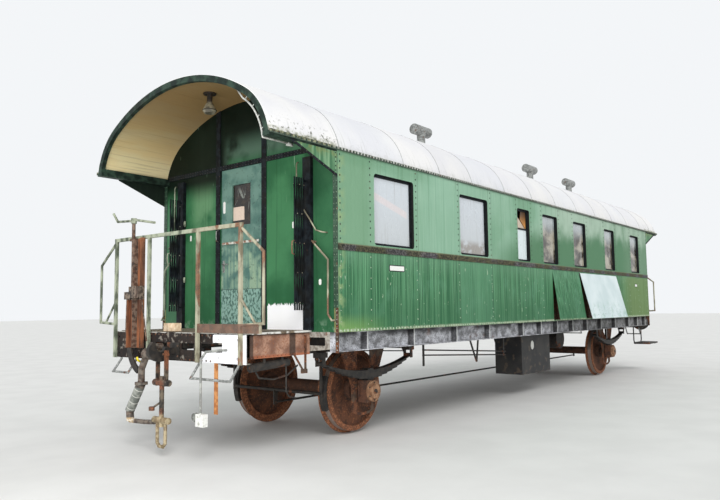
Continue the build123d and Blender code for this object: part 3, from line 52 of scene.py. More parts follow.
# Each end: way along X, outer face of its end wall
ends = ((-1, near_x), (1, far_x))

# Roof arch: one crown arc and a smaller arc over each side
crown_radius = 2.25
arch_side_radius = 0.75
arch_side_y = side_y - arch_side_radius
arch_side_z = 3.064 + rail
arch_rise = math.sqrt((crown_radius - arch_side_radius) ** 2 - arch_side_y**2)
arch_tangent = math.atan2(arch_rise, arch_side_y)

# Windows of one side: centre along X, width
windows = (
    (-4.363, 0.786), (-2.484, 0.784), (-0.928, 0.433), (0.092, 0.609), (1.412, 0.605),
    (3.000, 0.580), (4.606, 0.576),
)
window_low, window_high = 2.200 + rail, 3.020 + rail

# Along X: body pillars, rivet columns above the waist, joints of the sheets, seams of the roof
pillars = (
    -4.833, -3.923, -2.926, -2.021, -0.941, -0.271, 0.383, 1.068, 1.753, 2.500, 3.311, 4.180,
    4.768, 5.334,
)
upper_columns = (
    near_x + 0.035, -4.833, -3.923, -2.926, -2.021, -1.190, -0.660, -0.271, 0.447, 1.060, 1.765,
    2.660, 3.340, 4.270, 4.944, far_x - 0.035,
)
sheet_joints = (-3.885, -2.900, -1.992, -0.905, 0.424, 3.350, 4.214)
missing_sheet = (0.12, 3.313)
roof_seams = (
    -5.344, -4.143, -3.327, -2.497, -1.508, -0.557, 0.394, 1.350, 2.300, 3.250, 4.200, 5.130,
    5.860,
)

# Camera: where the photograph was taken from, 1.5 m over the rails beside the near end
camera_place = Vector((-10.697, -6.160, 1.519))
camera_yaw = math.radians(39.083)
camera_pitch = math.radians(4.997)
camera_roll = math.radians(-0.678)
camera_lens, camera_sensor, camera_reach = 33.53, 36, 500


def place_camera():
    """Puts the camera at the photograph's place, looking the same way."""
    forward = Vector((
        math.cos(camera_yaw) * math.cos(camera_pitch),
        math.sin(camera_yaw) * math.cos(camera_pitch),
        math.sin(camera_pitch),
    ))
    level = Vector((math.sin(camera_yaw), -math.cos(camera_yaw), 0))
    upright = level.cross(forward)
    right = level * math.cos(camera_roll) + upright * math.sin(camera_roll)
    up = upright * math.cos(camera_roll) - level * math.sin(camera_roll)
    data = bpy.data.cameras.new("camera")
    data.lens = camera_lens
    data.sensor_width = camera_sensor
    data.sensor_fit = "HORIZONTAL"
    data.clip_end = camera_reach
    camera = bpy.data.objects.new("camera", data)
    turn = Matrix((right, up, -forward)).transposed().to_4x4()
    camera.matrix_world = Matrix.Translation(camera_place) @ turn
    bpy.context.scene.collection.objects.link(camera)
    bpy.context.scene.camera = camera


# Light: a pale sky all round, two soft suns, and a panel that lights the near end wall
sky_level, sky_light, sky_seen = 0.74, (0.95, 0.98, 1, 1), (0.90, 0.92, 0.94, 1)
sun_softness = math.radians(25)
suns = (
    # Name, level, turns about X and Z in degrees
    ("sun", 1.35, 48, -38),
    ("fill", 0.5, 80, -75),
)
panel_place, panel_aim = Vector((-9.8, -3.4, 1.9)), Vector((-5.9, 1.0, 3.5))
panel_size, panel_power = 1.6, 105
floor_half = 120


def hang_lamp(name, data, turn, place=(0, 0, 0)):
    """Puts a light into the scene."""
    lamp = bpy.data.objects.new(name, data)
    lamp.location = place
    lamp.rotation_euler = turn
    bpy.context.scene.collection.objects.link(lamp)


def light_scene():
    """Makes the world, the suns and the panel."""
    world = bpy.data.worlds.new("sky")
    world.use_nodes = True
    tree = world.node_tree
    tree.nodes.clear()
    output = tree.nodes.new("ShaderNodeOutputWorld")
    mix = tree.nodes.new("ShaderNodeMixShader")
    light = tree.nodes.new("ShaderNodeBackground")
    light.inputs["Color"].default_value = sky_light
    light.inputs["Strength"].default_value = sky_level
    seen = tree.nodes.new("ShaderNodeBackground")
    seen.inputs["Color"].default_value = sky_seen
    path = tree.nodes.new("ShaderNodeLightPath")
    shown = path.outputs["Is Camera Ray"]
    for kind in ("Is Glossy Ray", "Is Transmission Ray"):
        either = tree.nodes.new("ShaderNodeMath")
        either.operation = "MAXIMUM"
        tree.links.new(shown, either.inputs[0])
        tree.links.new(path.outputs[kind], either.inputs[1])
        shown = either.outputs[0]
    tree.links.new(shown, mix.inputs[0])
    tree.links.new(light.outputs[0], mix.inputs[1])
    tree.links.new(seen.outputs[0], mix.inputs[2])
    tree.links.new(mix.outputs[0], output.inputs[0])
    bpy.context.scene.world = world
    for name, level, tip, swing in suns:
        sun = bpy.data.lights.new(name, "SUN")
        sun.energy = level
        sun.angle = sun_softness
        hang_lamp(name, sun, (math.radians(tip), 0, math.radians(swing)))
    panel = bpy.data.lights.new("panel", "AREA")
    panel.energy = panel_power
    panel.size = panel_size
    aim = (panel_aim - panel_place).to_track_quat("-Z", "Y").to_euler()
    hang_lamp("panel", panel, aim, panel_place)
    bpy.context.scene.view_settings.view_transform = "Standard"


def srgb(tone):
    """Turns a colour written as 0 to 255 into the shader's linear one."""
    parts = [c / 255 for c in tone]
    return tuple(c / 12.92 if c <= 0.04045 else ((c + 0.055) / 1.055) ** 2.4 for c in parts) + (1,)


class Graph:
    """Builds one procedural material in the frame's own coordinates. Colours are 0 to 255."""

    def __init__(self, name, roughness=0.6, gloss=0.5):
        self.material = bpy.data.materials.new(name)
        self.material.use_nodes = True
        self.tree = self.material.node_tree
        self.shader = self.tree.nodes["Principled BSDF"]
        self.shader.inputs["Roughness"].default_value = roughness
        self.shader.inputs["Specular IOR Level"].default_value = gloss
        self.place = self.add("ShaderNodeTexCoord").outputs["Object"]
        split = self.add("ShaderNodeSeparateXYZ")
        self.tree.links.new(self.place, split.inputs[0])
        self.x, self.y, self.z = split.outputs
        self.colour = None

    def add(self, kind, **settings):
        node = self.tree.nodes.new(kind)
        for key, value in settings.items():
            setattr(node, key, value)
        return node

    def feed(self, value, socket):
        """Gives a socket a constant, a colour of three parts, or another node's output."""
        if isinstance(value, bpy.types.NodeSocket):
            self.tree.links.new(value, socket)
        elif isinstance(value, tuple) and len(value) == 3:
            socket.default_value = srgb(value)
        else:
            socket.default_value = value

    def calc(self, operation, *values):
        node = self.add("ShaderNodeMath", operation=operation)
        for value, socket in zip(values, node.inputs):
            self.feed(value, socket)
        return node.outputs[0]

    def product(self, *values):
        result = values[0]
        for value in values[1:]:
            result = self.calc("MULTIPLY", result, value)
        return result

    def either(self, *values):
        result = values[0]
        for value in values[1:]:
            result = self.calc("MAXIMUM", result, value)
        return result

    def texture(self, kind, scale, stretch, shift=0.0, **settings):
        """A texture node over stretched and shifted coordinates."""
        mapping = self.add("ShaderNodeMapping")
        self.tree.links.new(self.place, mapping.inputs["Vector"])
        mapping.inputs["Scale"].default_value = stretch
        mapping.inputs["Location"].default_value = (shift, shift, shift)
        node = self.add(kind, **settings)
        self.tree.links.new(mapping.outputs[0], node.inputs["Vector"])
        node.inputs["Scale"].default_value = scale
        return node

    def noise(self, scale, stretch=(1, 1, 1), detail=5, distortion=0.0, shift=0.0):
        node = self.texture("ShaderNodeTexNoise", scale, stretch, shift)
        node.inputs["Detail"].default_value = detail
        node.inputs["Distortion"].default_value = distortion
        return node.outputs[0]

    def rise(self, value, low, high):
        """0 below low, 1 above high and a smooth step between; reversed where low is higher."""
        node = self.add("ShaderNodeMapRange", interpolation_type="SMOOTHSTEP")
        self.feed(value, node.inputs["Value"])
        self.feed(low, node.inputs["From Min"])
        self.feed(high, node.inputs["From Max"])
        return node.outputs[0]

    def spots(self, low, high, *noise, **settings):
        """1 where a noise lies above high, 0 where it lies below low."""
        return self.rise(self.noise(*noise, **settings), low, high)

    def sway(self, noise, width):
        """A shift by up to half a width either way, for ragged edges."""
        return self.product(self.calc("SUBTRACT", noise, 0.5), width)

    def band(self, value, low, high, soft=0.004, ragged=None):
        """1 between two places along an axis."""
        if ragged is not None:
            value = self.calc("ADD", value, ragged)
        return self.product(
            self.rise(value, low - soft, low + soft), self.rise(value, high + soft, high - soft)
        )

    def stripes(self, value, places, width, soft=0.002):
        """1 on narrow lines at the given places along an axis."""
        half = width / 2
        return self.either(*(self.band(value, p - half, p + half, soft) for p in places))

    def mix(self, share, first, second):
        node = self.add("ShaderNodeMix", data_type="RGBA")
        for value, number in ((share, 0), (first, 6), (second, 7)):
            self.feed(value, node.inputs[number])
        return node.outputs[2]

    def tones(self, value, low, high, first, second):
        """One colour where a value lies below low, another where it lies above high."""
        return self.mix(self.rise(value, low, high), first, second)

    def lay(self, tone, *shares):
        """Lays a colour over what is there, as strongly as all the shares together say."""
        self.colour = self.mix(self.product(*shares), self.colour, tone)

    def finish(self, roughness=None, height=None, depth=0.003, strength=0.6):
        """Feeds the shader and gives the material."""
        self.feed(self.colour, self.shader.inputs["Base Color"])
        if roughness is not None:
            self.feed(roughness, self.shader.inputs["Roughness"])
        if height is not None:
            bump = self.add("ShaderNodeBump")
            self.feed(height, bump.inputs["Height"])
            bump.inputs["Distance"].default_value = depth
            bump.inputs["Strength"].default_value = strength
            self.tree.links.new(bump.outputs[0], self.shader.inputs["Normal"])
        return self.material


rust_dark, rust_mid, rust_light = (58, 36, 26), (112, 68, 44), (176, 108, 66)
dirt = (38, 36, 28)


def rust_colour(g, scale=9):
    """Mottled rust, dark and orange patches over mid brown, and the fine noise in it."""
    fine = g.noise(scale * 6, detail=6)
    colour = g.tones(g.noise(scale), 0.38, 0.62, rust_dark, rust_mid)
    return g.mix(g.product(g.rise(fine, 0.52, 0.70), 0.7), colour, rust_light), fine


def coated(name, paint, other, share, scale, rough=(0.45, 0.85), gloss=0.5):
    """Paint in two tones with mottled rust showing over a share of it."""
    g = Graph(name, gloss=gloss)
    g.colour = g.tones(g.noise(scale * 2.7, shift=3), 0.40, 0.62, paint, other)
    rust, fine = rust_colour(g, scale * 1.6)
    edge = 0.70 - 0.42 * share
    worn = g.rise(g.noise(scale, detail=6), edge - 0.03, edge + 0.05)
    g.lay(rust, worn)
    g.lay(dirt, g.spots(0.5, 0.75, scale * 0.6, detail=4, shift=7), 0.45)
    dull = g.calc("ADD", rough[0], g.product(worn, rough[1] - rough[0]))
    height = g.calc("SUBTRACT", g.product(fine, 0.5), g.product(worn, 0.5))
    return g.finish(dull, height, 0.002)


def body_green(g):
    """Faded green side paint: pale above the waist, deeper and grooved below, olive far off."""
    streak = g.noise(1.0, (30, 30, 0.5))
    fine = g.noise(1.0, (95, 95, 1.0), detail=4, shift=5)
    cloud = g.noise(0.9, (1, 1, 1.3))
    blot = g.noise(4, (1, 1, 0.8), detail=6, shift=8)
    # Below the waist: narrow dark and pale lines down the sheets
    grooves_per_metre = 31.0
    groove = g.calc("MULTIPLY", g.x, grooves_per_metre)
    groove = g.calc("FRACT", g.calc("ADD", groove, g.product(blot, 0.8)))
    strong = g.product(g.spots(0.42, 0.60, 1.0, (9, 9, 0.5), shift=2), g.rise(g.x, 0.2, -1.8))
    g.colour = g.tones(streak, 0.38, 0.64, (46, 102, 66), (82, 138, 98))
    g.lay((98, 152, 120), g.rise(blot, 0.50, 0.66), 0.35)
    dark_line = g.product(
        g.rise(groove, 0.26, 0.10), g.calc("ADD", 0.15, g.product(strong, 0.75))
    )
    g.lay((20, 62, 40), dark_line)
    g.lay((132, 184, 140), g.rise(groove, 0.34, 0.44), g.rise(groove, 0.66, 0.54), strong, 0.5)
    g.lay((26, 70, 46), g.rise(fine, 0.58, 0.66), 0.5)
    g.lay((124, 170, 132), g.rise(fine, 0.42, 0.35), 0.4)
    g.lay((36, 90, 54), g.rise(g.z, 1.84, 1.40), 0.46)
    g.lay((142, 182, 152), g.rise(g.z, 1.86, 2.14), 0.15)
    near_foot = g.rise(g.z, sill_top + 0.22, sill_top + 0.02)
    g.lay((128, 166, 86), near_foot, g.rise(g.x, near_x + 1.0, near_x + 0.1), 0.6)
    g.lay((96, 150, 116), g.band(g.x, -2.90, -1.99), 0.30)
    lower = g.colour
    # Above the waist: chalky and pale, darker towards the far end and down to the waist
    g.colour = g.tones(cloud, 0.38, 0.62, (122, 164, 134), (142, 180, 154))
    g.lay((152, 190, 166), g.band(g.x, -3.9, -2.2, 0.3), 0.45)
    g.lay((88, 136, 106), g.rise(streak, 0.54, 0.68), 0.35)
    g.lay((174, 202, 180), g.rise(fine, 0.42, 0.34), 0.35)
    fall = g.calc("ADD", g.rise(g.z, window_high + 0.12, window_low), g.sway(blot, 0.9))
    fall = g.calc("ADD", fall, g.product(g.rise(g.x, 1.2, 3.6), 0.26))
    far_green = g.tones(fall, 0.05, 0.70, (166, 190, 170), (82, 126, 92))
    darker = g.calc("ADD", g.product(g.rise(g.z, window_high, window_low), 1.8), g.x)
    g.lay(far_green, g.rise(darker, -0.6, 0.9))
    g.lay((150, 172, 150), g.rise(g.x, 3.6, 4.6), 0.25)
    g.lay((108, 148, 114), g.rise(g.x, -4.60, -4.95), 0.75)
    over_windows = g.rise(g.z, window_high - 0.02, window_high + 0.10)
    g.lay((92, 138, 104), over_windows, g.rise(g.x, -3.4, -3.9), 0.30)
    g.colour = g.mix(g.rise(g.z, waist_bottom, waist_bottom + 0.02), lower, g.colour)
    # Olive far off, stains at the corner, drips, a worn foot, joints and chips
    olive = g.mix(streak, (88, 116, 62), (128, 148, 90))
    below = g.rise(g.z, waist_bottom + 0.02, waist_bottom - 0.05)
    g.lay(olive, g.rise(g.x, 3.2, 4.4), below, 0.75)
    corner = g.rise(g.x, near_x + 0.16, near_x + 0.02)
    g.lay((150, 170, 118), corner, g.spots(0.44, 0.6, 9, detail=6), 0.6)
    drip = g.spots(0.55, 0.72, 1.0, (34, 34, 0.9), detail=3, shift=11)
    g.lay((70, 92, 60), drip, g.rise(g.z, eaves_z - 0.42, eaves_z), 0.35)
    foot = g.rise(g.z, sill_top + 0.045, sill_top + 0.012)
    g.lay((168, 178, 148), foot, g.spots(0.36, 0.54, 22), 0.8)
    joints = g.stripes(g.x, sheet_joints, 0.005)
    g.lay((26, 44, 34), joints, 0.8)
    chips = g.spots(0.70, 0.73, 30, (1, 1, 0.4), detail=3, shift=2)
    g.lay((176, 198, 168), chips, g.rise(g.z, waist_bottom, waist_bottom - 0.1), 0.8)
    # Painted shade in the window reveals, the rusty frame behind the missing sheets, and the wooden
    # inside
    depth = g.calc("ABSOLUTE", g.y)
    # Painted shade: the jambs and head of each window reveal, almost black
    g.lay(
        (18, 21, 20), g.rise(depth, side_y - 0.0005, side_y - 0.0030),
        g.rise(g.z, window_low - 0.008, window_low - 0.004),
        g.rise(g.z, window_high + 0.008, window_high + 0.004),
    )
    rust, _ = rust_colour(g)
    g.lay(
        g.mix(0.55, rust, (30, 26, 20)), g.band(g.x, *missing_sheet),
        g.rise(depth, side_y - 0.001, side_y - 0.004), g.rise(g.y, 0.0, -0.1),
        g.rise(g.z, waist_bottom, waist_bottom - 0.01),
    )
    g.lay((150, 116, 74), g.rise(depth, side_y - 0.050, side_y - 0.058))
    height = g.calc("SUBTRACT", fine, g.either(g.product(dark_line, 0.8), joints))
    return g.finish(g.calc("ADD", 0.50, g.product(cloud, 0.3)), height, 0.004, 0.5)


def gusset_green(g):
    """The hood gussets: streaked green outside, almost black inside as painted shade."""
    streak = g.noise(1.0, (28, 28, 1.6))
    g.colour = g.tones(streak, 0.38, 0.62, (66, 112, 78), (122, 160, 122))
    g.lay((118, 128, 78), g.rise(g.z, 3.08, 3.19), g.spots(0.40, 0.60, 16, detail=6), 0.7)
    # Painted shade: the inner faces darkened almost to black
    inner = g.rise(g.calc("ABSOLUTE", g.y), 1.5450, 1.5435)
    g.lay(g.mix(streak, (16, 24, 20), (34, 48, 38)), inner)
    return g.finish(0.6, streak, 0.002)


def end_green(g):
    """Dark green end wall, deeper green below, with painted shadow under the hood and the white
    primer patch.
    """
    cloud = g.noise(1.6)
    g.colour = g.tones(cloud, 0.36, 0.64, (44, 97, 62), (70, 128, 86))
    g.lay(
        (118, 158, 118), g.rise(g.y, 0.42, 0.62), g.rise(g.y, 1.0, 0.8), g.rise(g.z, 2.3, 2.8),
        g.rise(cloud, 0.40, 0.55), 0.6,
    )
    g.lay((28, 70, 44), g.spots(0.55, 0.72, 1.0, (20, 20, 0.6)), 0.4)
    g.lay((30, 92, 54), g.rise(g.z, 2.0, 1.4), 0.35)
    # Under the hood: painted shadow, black on the left, with a painted patch of light over the door
    # on the right
    # Near-black tones of the painted shadow under the hood
    dull = g.tones(g.noise(2.4, detail=4, shift=4), 0.44, 0.58, (5, 8, 7), (12, 18, 15))
    painted_light_over_door = g.product(
        g.rise(g.y, 0.36, 0.20), g.rise(g.z, 3.72, 3.40), g.spots(0.36, 0.50, 1.4, detail=4)
    )
    dull = g.mix(painted_light_over_door, dull, (80, 106, 90))
    right = g.rise(g.y, 0.40, 0.20)
    shade_foot = g.calc("ADD", 2.86, g.product(right, 0.38))
    shade_top = g.calc("ADD", 3.18, g.product(right, 0.26))
    g.lay(dull, g.rise(g.z, shade_foot, shade_top), 0.96)
    # Painted shade on the outer right panel beside the gusset
    g.lay((28, 60, 42), g.rise(g.y, -1.05, -1.10), 0.45)
    g.lay((92, 134, 104), g.rise(g.y, 1.16, 1.22), g.rise(g.z, 3.0, 2.7), 0.5)
    worn_foot = g.rise(g.z, sill_top + 0.16, sill_top + 0.03)
    g.lay((140, 166, 142), worn_foot, g.spots(0.44, 0.6, 14), 0.6)
    g.lay((160, 190, 166), g.spots(0.73, 0.76, 1.0, (70, 70, 3.0), detail=2, shift=9), 0.6)
    # White primer, brushed on with a ragged top
    jag = g.sway(g.noise(1.0, (60, 60, 9), detail=3), 0.10)
    patch = g.product(
        g.band(g.y, -1.040, -0.468, 0.004), g.band(g.z, sill_top, 1.545 + rail, 0.006, jag),
        g.rise(g.x, near_x + 0.03, near_x + 0.01),
    )
    g.lay(g.tones(cloud, 0.3, 0.7, (250, 250, 253), (255, 255, 255)), patch)
    # The wooden inside of both walls
    near_inside = g.rise(g.x, near_x + 0.045, near_x + 0.053)
    g.lay((160, 122, 76), near_inside, g.rise(g.x, far_x - 0.045, far_x - 0.053))
    rough = g.calc("ADD", 0.35, g.product(cloud, 0.4))
    return g.finish(g.either(rough, g.product(patch, 0.8)), g.noise(60, detail=3), 0.001, 0.4)


def door_teal(g):
    """Teal door, streaked pale by rain, with a lighter kick sheet and a dark broken pane."""
    streak = g.noise(1.0, (22, 22, 0.9), detail=6)
    blot = g.noise(7, detail=6)
    g.colour = g.tones(blot, 0.36, 0.64, (72, 112, 102), (104, 140, 127))
    rain = g.rise(g.z, 2.40 + rail, 2.10 + rail)
    g.lay((150, 176, 146), rain, g.rise(streak, 0.36, 0.62), g.rise(blot, 0.36, 0.60))
    speck = g.spots(0.42, 0.54, 34, (1, 1, 0.7), detail=3)
    kick_sheet = g.rise(g.z, 1.742 + rail, 1.730 + rail)
    g.lay(g.mix(speck, (68, 104, 92), (138, 174, 161)), kick_sheet)
    g.lay((46, 70, 64), g.stripes(g.z, (1.738 + rail,), 0.006))
    scuff = g.spots(0.60, 0.68, 30, shift=6)
    g.lay((40, 62, 56), scuff, 0.6)
    # The pane: grime, cracks and missing shards between the stiles
    inside_leaf = g.either(
        g.band(g.x, near_x + 0.024, near_x + 0.041, 0.001),
        g.band(g.x, far_x - 0.041, far_x - 0.024, 0.001),
    )
    pane = g.product(
        g.band(g.y, -0.1645, 0.1645, 0.001), g.band(g.z, 2.511 + rail, 3.009 + rail, 0.001),
        inside_leaf,
    )
    cell = g.texture("ShaderNodeTexVoronoi", 8, (1, 1, 0.6), feature="DISTANCE_TO_EDGE")
    crack = g.product(
        g.rise(cell.outputs[0], 0.024, 0.008), g.band(g.z, 2.70 + rail, 2.95 + rail, 0.05),
        g.spots(0.42, 0.52, 9, detail=3),
    )
    glass = g.mix(g.product(g.spots(0.52, 0.60, 14), 0.5), (30, 24, 18), (62, 50, 38))
    g.lay(g.mix(g.product(crack, 0.7), glass, (150, 156, 148)), pane)
    bar = g.band(g.z, 2.286 + rail, 2.314 + rail, 0.002)
    proud = g.either(g.rise(g.x, near_x, near_x - 0.002), g.rise(g.x, far_x, far_x + 0.002))
    worn = g.spots(0.42, 0.56, 18, detail=4, shift=8)
    g.lay(g.mix(worn, (212, 214, 204), (140, 96, 70)), bar, proud)
    rough = g.calc("SUBTRACT", 0.5, g.product(pane, 0.38))
    return g.finish(rough, g.calc("ADD", streak, g.product(scuff, 0.5)), 0.002, 0.4)


def roof_paint(g):
    """Pale roof paint, a little different from sheet to sheet, stained along the eaves."""
    cloud = g.noise(1.3)
    g.colour = g.tones(cloud, 0.35, 0.65, (222, 221, 224), (234, 232, 230))
    sheet_tones = ((216, 219, 226), (232, 230, 230), (222, 220, 218))
    for number, (start, end) in enumerate(zip(roof_seams, roof_seams[1:])):
        g.lay(sheet_tones[number % len(sheet_tones)], g.band(g.x, start, end), 0.25)
    moss = g.noise(26, detail=6)
    hood = g.either(
        g.rise(g.x, near_x + 0.1, near_x - 0.1), g.rise(g.x, far_x - 0.1, far_x + 0.1)
    )
    low = g.product(g.rise(g.z, eaves_z + 0.085, eaves_z + 0.03), g.rise(moss, 0.36, 0.56))
    high = g.product(g.rise(g.z, eaves_z + 0.24, eaves_z + 0.06), g.rise(moss, 0.58, 0.66))
    mossy = g.tones(moss, 0.5, 0.7, (158, 160, 132), (72, 74, 56))
    g.lay(mossy, g.either(low, high), g.calc("ADD", 0.12, g.product(hood, 0.75)))
    drips = g.spots(0.56, 0.70, 1.0, (40, 2, 2), detail=4, shift=1)
    g.lay((150, 152, 140), drips, g.rise(g.z, eaves_z + 0.5, eaves_z), 0.35)
    g.lay((120, 118, 108), g.spots(0.70, 0.74, 60, detail=2), 0.35)
    height = g.calc("ADD", cloud, g.product(g.noise(50, detail=4), 0.1))
    return g.finish(0.55, height, 0.006, 0.35)


def cream_boards(g):
    """Cream ceiling boards, darker brown towards the crown as painted shade."""
    g.colour = g.tones(g.noise(2.2, (0.5, 2, 2)), 0.35, 0.65, (255, 228, 168), (255, 240, 190))
    # Painted shade: darker brown towards the crown
    g.lay((128, 98, 54), g.rise(g.z, 3.25, 4.05), 0.92)
    grain = g.noise(1.0, (1.5, 60, 60))
    g.lay((150, 120, 76), g.rise(grain, 0.52, 0.7), 0.3)
    return g.finish(0.6, grain, 0.001, 0.5)


def sill_grey(g):
    """Scuffed lavender-grey primer on the outer sill, with rust, painted shade at the top and on
    the rib faces, and painted highlight on the rib edges.
    """
    g.colour = g.tones(g.noise(9, (1, 1, 1.2)), 0.34, 0.66, (118, 118, 121), (200, 201, 207))
    g.lay((62, 60, 60), g.spots(0.50, 0.64, 60, shift=3), 0.7)
    g.lay((76, 73, 58), g.rise(g.x, -1.5, 3.5), 0.45)
    # Painted shade along the top, in patches
    top = g.rise(g.z, sill_top - 0.085, sill_top - 0.02)
    g.lay((34, 36, 38), top, g.spots(0.36, 0.52, 3, detail=4), 0.85)
    rust, fine = rust_colour(g, 7)
    g.lay(rust, g.spots(0.62, 0.70, 3.5, detail=6, shift=9), 0.5)
    outer = g.calc("ABSOLUTE", g.y)
    # Painted shade on the ribs' near faces and the web just before them
    rib_face_shade = g.stripes(g.x, [p - 0.026 for p in pillars], 0.058, 0.012)
    g.lay((24, 24, 26), rib_face_shade, g.rise(outer, 1.487, 1.482), 0.8)
    # Painted highlight on the ribs' outer edges
    rib_edge_highlight = g.stripes(g.x, pillars, 0.014, 0.001)
    g.lay((200, 202, 200), rib_edge_highlight, g.rise(outer, 1.488, 1.492), 0.9)
    return g.finish(0.7, fine, 0.002)


def primer_over_rust(g):
    """Rusty headstock steel with white primer in blocks round the front buffer's place."""
    rust, fine = rust_colour(g, 8)
    grime = g.spots(0.42, 0.60, 4, detail=6)
    g.colour = g.mix(grime, g.mix(0.93, rust, (6, 5, 5)), g.mix(0.93, rust, (22, 20, 17)))
    g.lay((158, 150, 138), g.spots(0.56, 0.66, 15, detail=8, shift=6), 0.6)
    blocks = (
        # Start and end along Y, foot and top above the rail
        (-1.185, -0.674, 1.163, 1.246),
        (-1.185, -0.820, 1.060, 1.166),
        (-1.185, -0.472, 0.955, 1.066),
    )
    jag = g.sway(g.noise(30, detail=3), 0.012)
    white = g.either(*(
        g.product(
            g.band(g.y, start, end, 0.003, jag), g.band(g.z, foot + rail, top + rail, 0.003, jag)
        )
        for start, end, foot, top in blocks
    ))
    white = g.product(white, g.rise(g.x, -hood_x + 0.066, -hood_x + 0.056))
    g.lay(g.tones(grime, 0.2, 1.0, (247, 247, 249), (234, 234, 237)), white)
    g.lay((216, 212, 204), g.rise(g.z, 1.278, 1.284), g.spots(0.38, 0.50, 9, shift=4), 0.85)
    return g.finish(g.calc("SUBTRACT", 0.85, g.product(white, 0.3)), fine, 0.002)


def rail_paint(g):
    """Weathered grey-green railing paint with rust, redder on the right-hand posts."""
    blot = g.noise(12, (1, 1, 0.5), detail=6)
    g.colour = g.tones(blot, 0.38, 0.60, (80, 88, 72), (164, 170, 148))
    rust, fine = rust_colour(g, 14)
    right, left = g.rise(g.y, -0.2, -0.5), g.rise(g.y, 0.0, 0.3)
    g.lay((168, 142, 116), right, 0.3)
    edge = g.calc("ADD", g.calc("ADD", 0.62, g.product(left, 0.12)), g.product(right, -0.08))
    worn = g.spots(edge, g.calc("ADD", edge, 0.06), 6, (1, 1, 0.35), detail=6, shift=5)
    g.lay(g.mix(0.25, rust, (156, 124, 96)), worn, 0.9)
    board = g.mix(0.6, rust, g.mix(blot, (62, 50, 44), (142, 122, 106)))
    g.lay(
        board, g.band(g.z, 1.26 + rail, 1.354 + rail), g.rise(g.x, -6.31, -6.33),
        g.band(g.y, -1.38, -0.45),
    )
    return g.finish(0.7, g.calc("ADD", blot, fine), 0.002)


def brake_stand_paint(g):
    """Orange rust on the two channels, grey-brown iron on the column, rods and bearings."""
    rust, fine = rust_colour(g, 9)
    rusty = g.noise(9, (1.6, 1.6, 0.3), detail=6)
    orange = g.tones(rusty, 0.38, 0.62, (150, 92, 58), (84, 50, 33))
    tall = g.band(g.y, 0.497, 0.630, 0.006)
    short = g.product(g.band(g.y, 0.660, 0.762), g.rise(g.z, 1.66, 1.64))
    iron = g.tones(g.noise(24), 0.42, 0.6, (58, 51, 45), (126, 112, 98))
    g.colour = g.mix(g.either(tall, short), g.mix(0.3, iron, rust), orange)
    g.lay(iron, g.band(g.z, 1.62 + rail, 1.775 + rail), 0.85)
    return g.finish(0.75, fine, 0.002)


def waist_steel(g):
    """Bare rough waist strip: brown, grey and violet mottle."""
    mottle = g.noise(58, detail=6)
    g.colour = g.tones(mottle, 0.40, 0.60, (24, 24, 16), (90, 86, 58))
    violet = g.tones(mottle, 0.42, 0.6, (36, 33, 39), (104, 101, 102))
    g.lay(violet, g.spots(0.48, 0.62, 2.4, detail=4))
    g.lay((30, 30, 16), g.rise(g.x, -3.7, -4.2), 0.3)
    # Painted highlight along the strip's top edge
    g.lay((142, 150, 116), g.rise(g.z, waist_top - 0.016, waist_top - 0.004), 0.45)
    return g.finish(0.85, mottle, 0.004, 0.9)


def deck_wood(g):
    """Worn planks that run along Y, grey with dirt."""
    grain = g.noise(1.0, (22, 1.5, 22), detail=6)
    g.colour = g.tones(grain, 0.36, 0.64, (92, 80, 66), (132, 118, 98))
    g.lay(dirt, g.spots(0.45, 0.65, 3), 0.5)
    planks_per_metre = 7.0
    plank = g.calc("FRACT", g.calc("MULTIPLY", g.x, planks_per_metre))
    gap = g.either(g.rise(plank, 0.03, 0.01), g.rise(plank, 0.97, 0.99))
    g.lay((18, 15, 12), gap)
    edge = g.rise(g.calc("ABSOLUTE", g.y), 1.156, 1.159)
    g.lay((222, 220, 214), edge, g.spots(0.40, 0.52, 7, shift=2))
    return g.finish(0.85, g.calc("SUBTRACT", grain, gap), 0.003)


def varnished_wood(g, tone, other, shaded=False):
    """Varnished orange-brown wood; the window flap's upper part lies in the shade."""
    grain = g.noise(1.0, (14, 14, 1.2), detail=7, distortion=1.0)
    g.colour = g.tones(grain, 0.36, 0.64, tone, other)
    if shaded:
        g.lay((52, 34, 16), g.rise(g.z, 2.78, 2.99), 0.85)
    return g.finish(None, grain, 0.001, 0.4)


